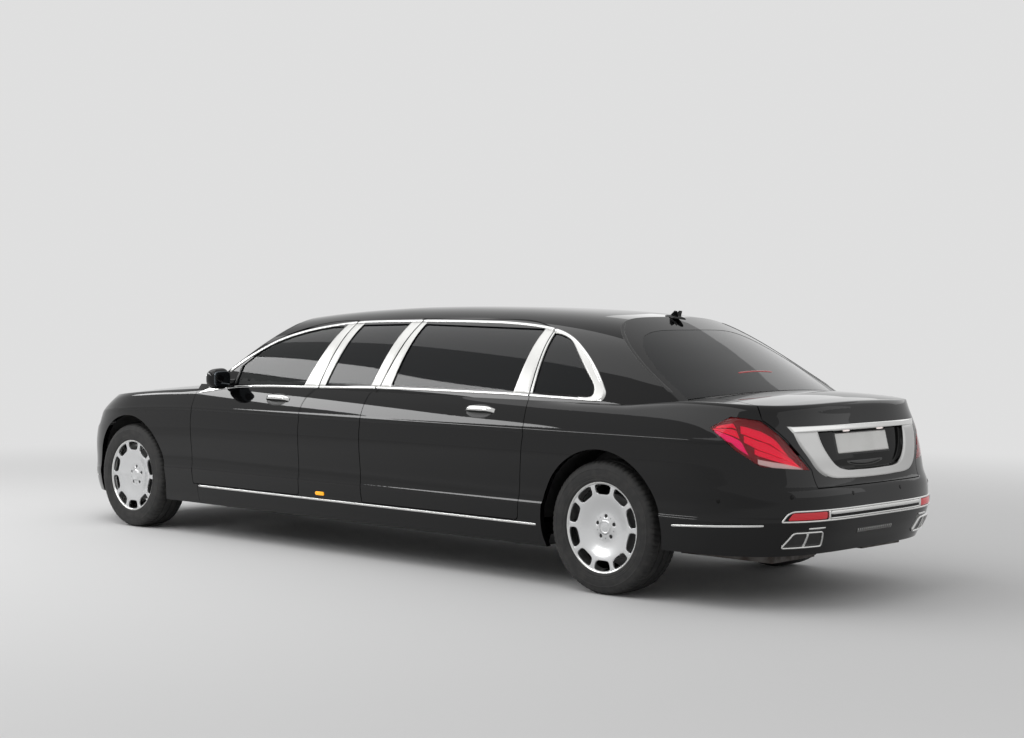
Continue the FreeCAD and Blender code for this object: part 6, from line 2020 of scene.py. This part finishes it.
@dataclass
class Studio:
    """Pale floor and surroundings, soft lights and the photograph's camera."""

    place: tuple[float, float, float] = (-8.3222, 8.3848, 1.5341)
    yaw: float = -0.8189
    pitch: float = -0.0169
    roll: float = 0.0063
    focal: float = 1769.84
    principal: Pair = (506.95, 346.08)
    picture: Pair = (1024.0, 738.0)
    sensor: float = 36.0
    pale: Colour = (0.74, 0.74, 0.74)
    ambient: float = 0.46
    fade: Pair = (4.4, 10.5)

    def build(self) -> None:
        """Builds all of it."""
        self.camera()
        self.floor()
        self.world()
        self.lights()

    def camera(self) -> None:
        """Camera at the photograph's place."""
        level = math.cos(self.pitch)
        forward = Vector((math.cos(self.yaw) * level, math.sin(self.yaw) * level, math.sin(self.pitch)))
        right = forward.cross(Vector((0, 0, 1))).normalized()
        up = right.cross(forward)
        c, s = math.cos(self.roll), math.sin(self.roll)
        across, above = right * c + up * s, up * c - right * s
        data = bpy.data.cameras.new("camera")
        data.sensor_width = self.sensor
        data.lens = self.sensor * self.focal / self.picture[0]
        data.shift_x = (self.picture[0] / 2 - self.principal[0]) / self.picture[0]
        data.shift_y = (self.principal[1] - self.picture[1] / 2) / self.picture[0]
        data.clip_end = 200.0
        made_camera = bpy.data.objects.new("camera", data)
        turn = Matrix((across, above, -forward)).transposed().to_4x4()
        made_camera.matrix_world = Matrix.Translation(self.place) @ turn
        bpy.context.scene.collection.objects.link(made_camera)
        bpy.context.scene.camera = made_camera

    def floor(self) -> None:
        """Wide round floor, a ring grid that runs far past the view and fades into the background."""
        radius = np.array([0.0, 6.0, 12.0, 30.0, 80.0])[None, :]
        turn = (np.arange(64) * math.pi / 32)[:, None]
        points = np.stack([radius * np.cos(turn), radius * np.sin(turn), 0 * radius * turn], -1)
        mesh = fresh_mesh("floor", points, grid_faces(64, 5, True))
        shader = Shader("pale_floor")
        shader.set("Base Color", self.pale)
        shader.set("Roughness", shader.noise(4.0) * 0.1 + 0.75)
        shader.set("Specular IOR Level", 0.1)
        away = shader.value("ShaderNodeVectorMath", {0: shader.place}, {"operation": "LENGTH"}, "Value")
        far = away.step(*self.fade) * Value(shader, self.seen(shader.tree))
        glow = shader.node("ShaderNodeEmission", {0: self.pale})
        mixed = shader.node("ShaderNodeMixShader", {0: far, 1: shader.main.outputs[0], 2: glow.outputs[0]})
        out = next(n for n in shader.tree.nodes if n.type == "OUTPUT_MATERIAL")
        shader.tree.links.new(mixed.outputs[0], out.inputs[0])
        piece = bpy.data.objects.new("floor", mesh)
        mesh.materials.append(shader.material)
        bpy.context.scene.collection.objects.link(piece)

    def seen(self, tree: bpy.types.NodeTree) -> bpy.types.NodeSocket:
        """One for camera, glossy and transmission rays, else zero."""
        path = tree.nodes.new("ShaderNodeLightPath")
        either = path.outputs["Is Camera Ray"]
        for ray in ("Is Glossy Ray", "Is Transmission Ray"):
            most = tree.nodes.new("ShaderNodeMath")
            most.operation = "MAXIMUM"
            tree.links.new(either, most.inputs[0])
            tree.links.new(path.outputs[ray], most.inputs[1])
            either = most.outputs[0]
        return either

    def world(self) -> None:
        """Soft grey surroundings; the camera, glossy and transmission rays see a plain pale background."""
        world = bpy.data.worlds.new("studio")
        bpy.context.scene.world = world
        world.use_nodes = True
        tree = world.node_tree
        lit = next(n for n in tree.nodes if n.type == "BACKGROUND")
        lit.inputs["Color"].default_value = (1.0, 1.0, 1.0, 1.0)
        lit.inputs["Strength"].default_value = self.ambient
        backdrop = tree.nodes.new("ShaderNodeBackground")
        backdrop.inputs["Color"].default_value = (*self.pale, 1.0)
        mixed = tree.nodes.new("ShaderNodeMixShader")
        out = next(n for n in tree.nodes if n.type == "OUTPUT_WORLD")
        tree.links.new(self.seen(tree), mixed.inputs[0])
        tree.links.new(lit.outputs[0], mixed.inputs[1])
        tree.links.new(backdrop.outputs[0], mixed.inputs[2])
        tree.links.new(mixed.outputs[0], out.inputs[0])

    def lights(self) -> None:
        """Large soft box above the left side, a bright strip for the creases, and weak boxes behind."""
        for name, place, aim, size, power in (
                ("overhead", (1.5, 2.4, 6.5), (0.0, 0.0, 0.4), (12.0, 4.6), 215.0),
                ("crease_strip", (5.0, 5.2, 4.4), (0.0, 0.6, 0.8), (10.0, 0.9), 210.0),
                ("tail", (-9.5, -3.5, 3.9), (-3.0, 0.0, 0.7), (9.0, 4.2), 55.0),
                ("right", (0.0, -8.5, 4.4), (0.0, 0.0, 0.6), (11.0, 3.4), 70.0)):
            data = bpy.data.lights.new(name, "AREA")
            data.shape = "RECTANGLE"
            data.size, data.size_y = size
            data.energy = power
            lamp = bpy.data.objects.new(name, data)
            lamp.location = place
            lamp.rotation_euler = (Vector(aim) - Vector(place)).to_track_quat("-Z", "Y").to_euler()
            bpy.context.scene.collection.objects.link(lamp)


def main() -> None:
    """Builds every sub-assembly in order."""
    logging.basicConfig(level=logging.INFO, format="%(message)s")
    bpy.context.scene.view_settings.view_transform = "Standard"
    parts = (CarriedNodes(), Panels(), Wheels(), SideTrim(), Mirrors(), TailLamps(), BootTrim(),
             RearBumperTrim(), RearWindowParts(), RoofAerial(), Front(), Cabin(), BootLedges(), Studio())
    for part in parts:
        part.build()
        LOG.info("%s built", type(part).__name__)


if __name__ == "__main__":
    main()
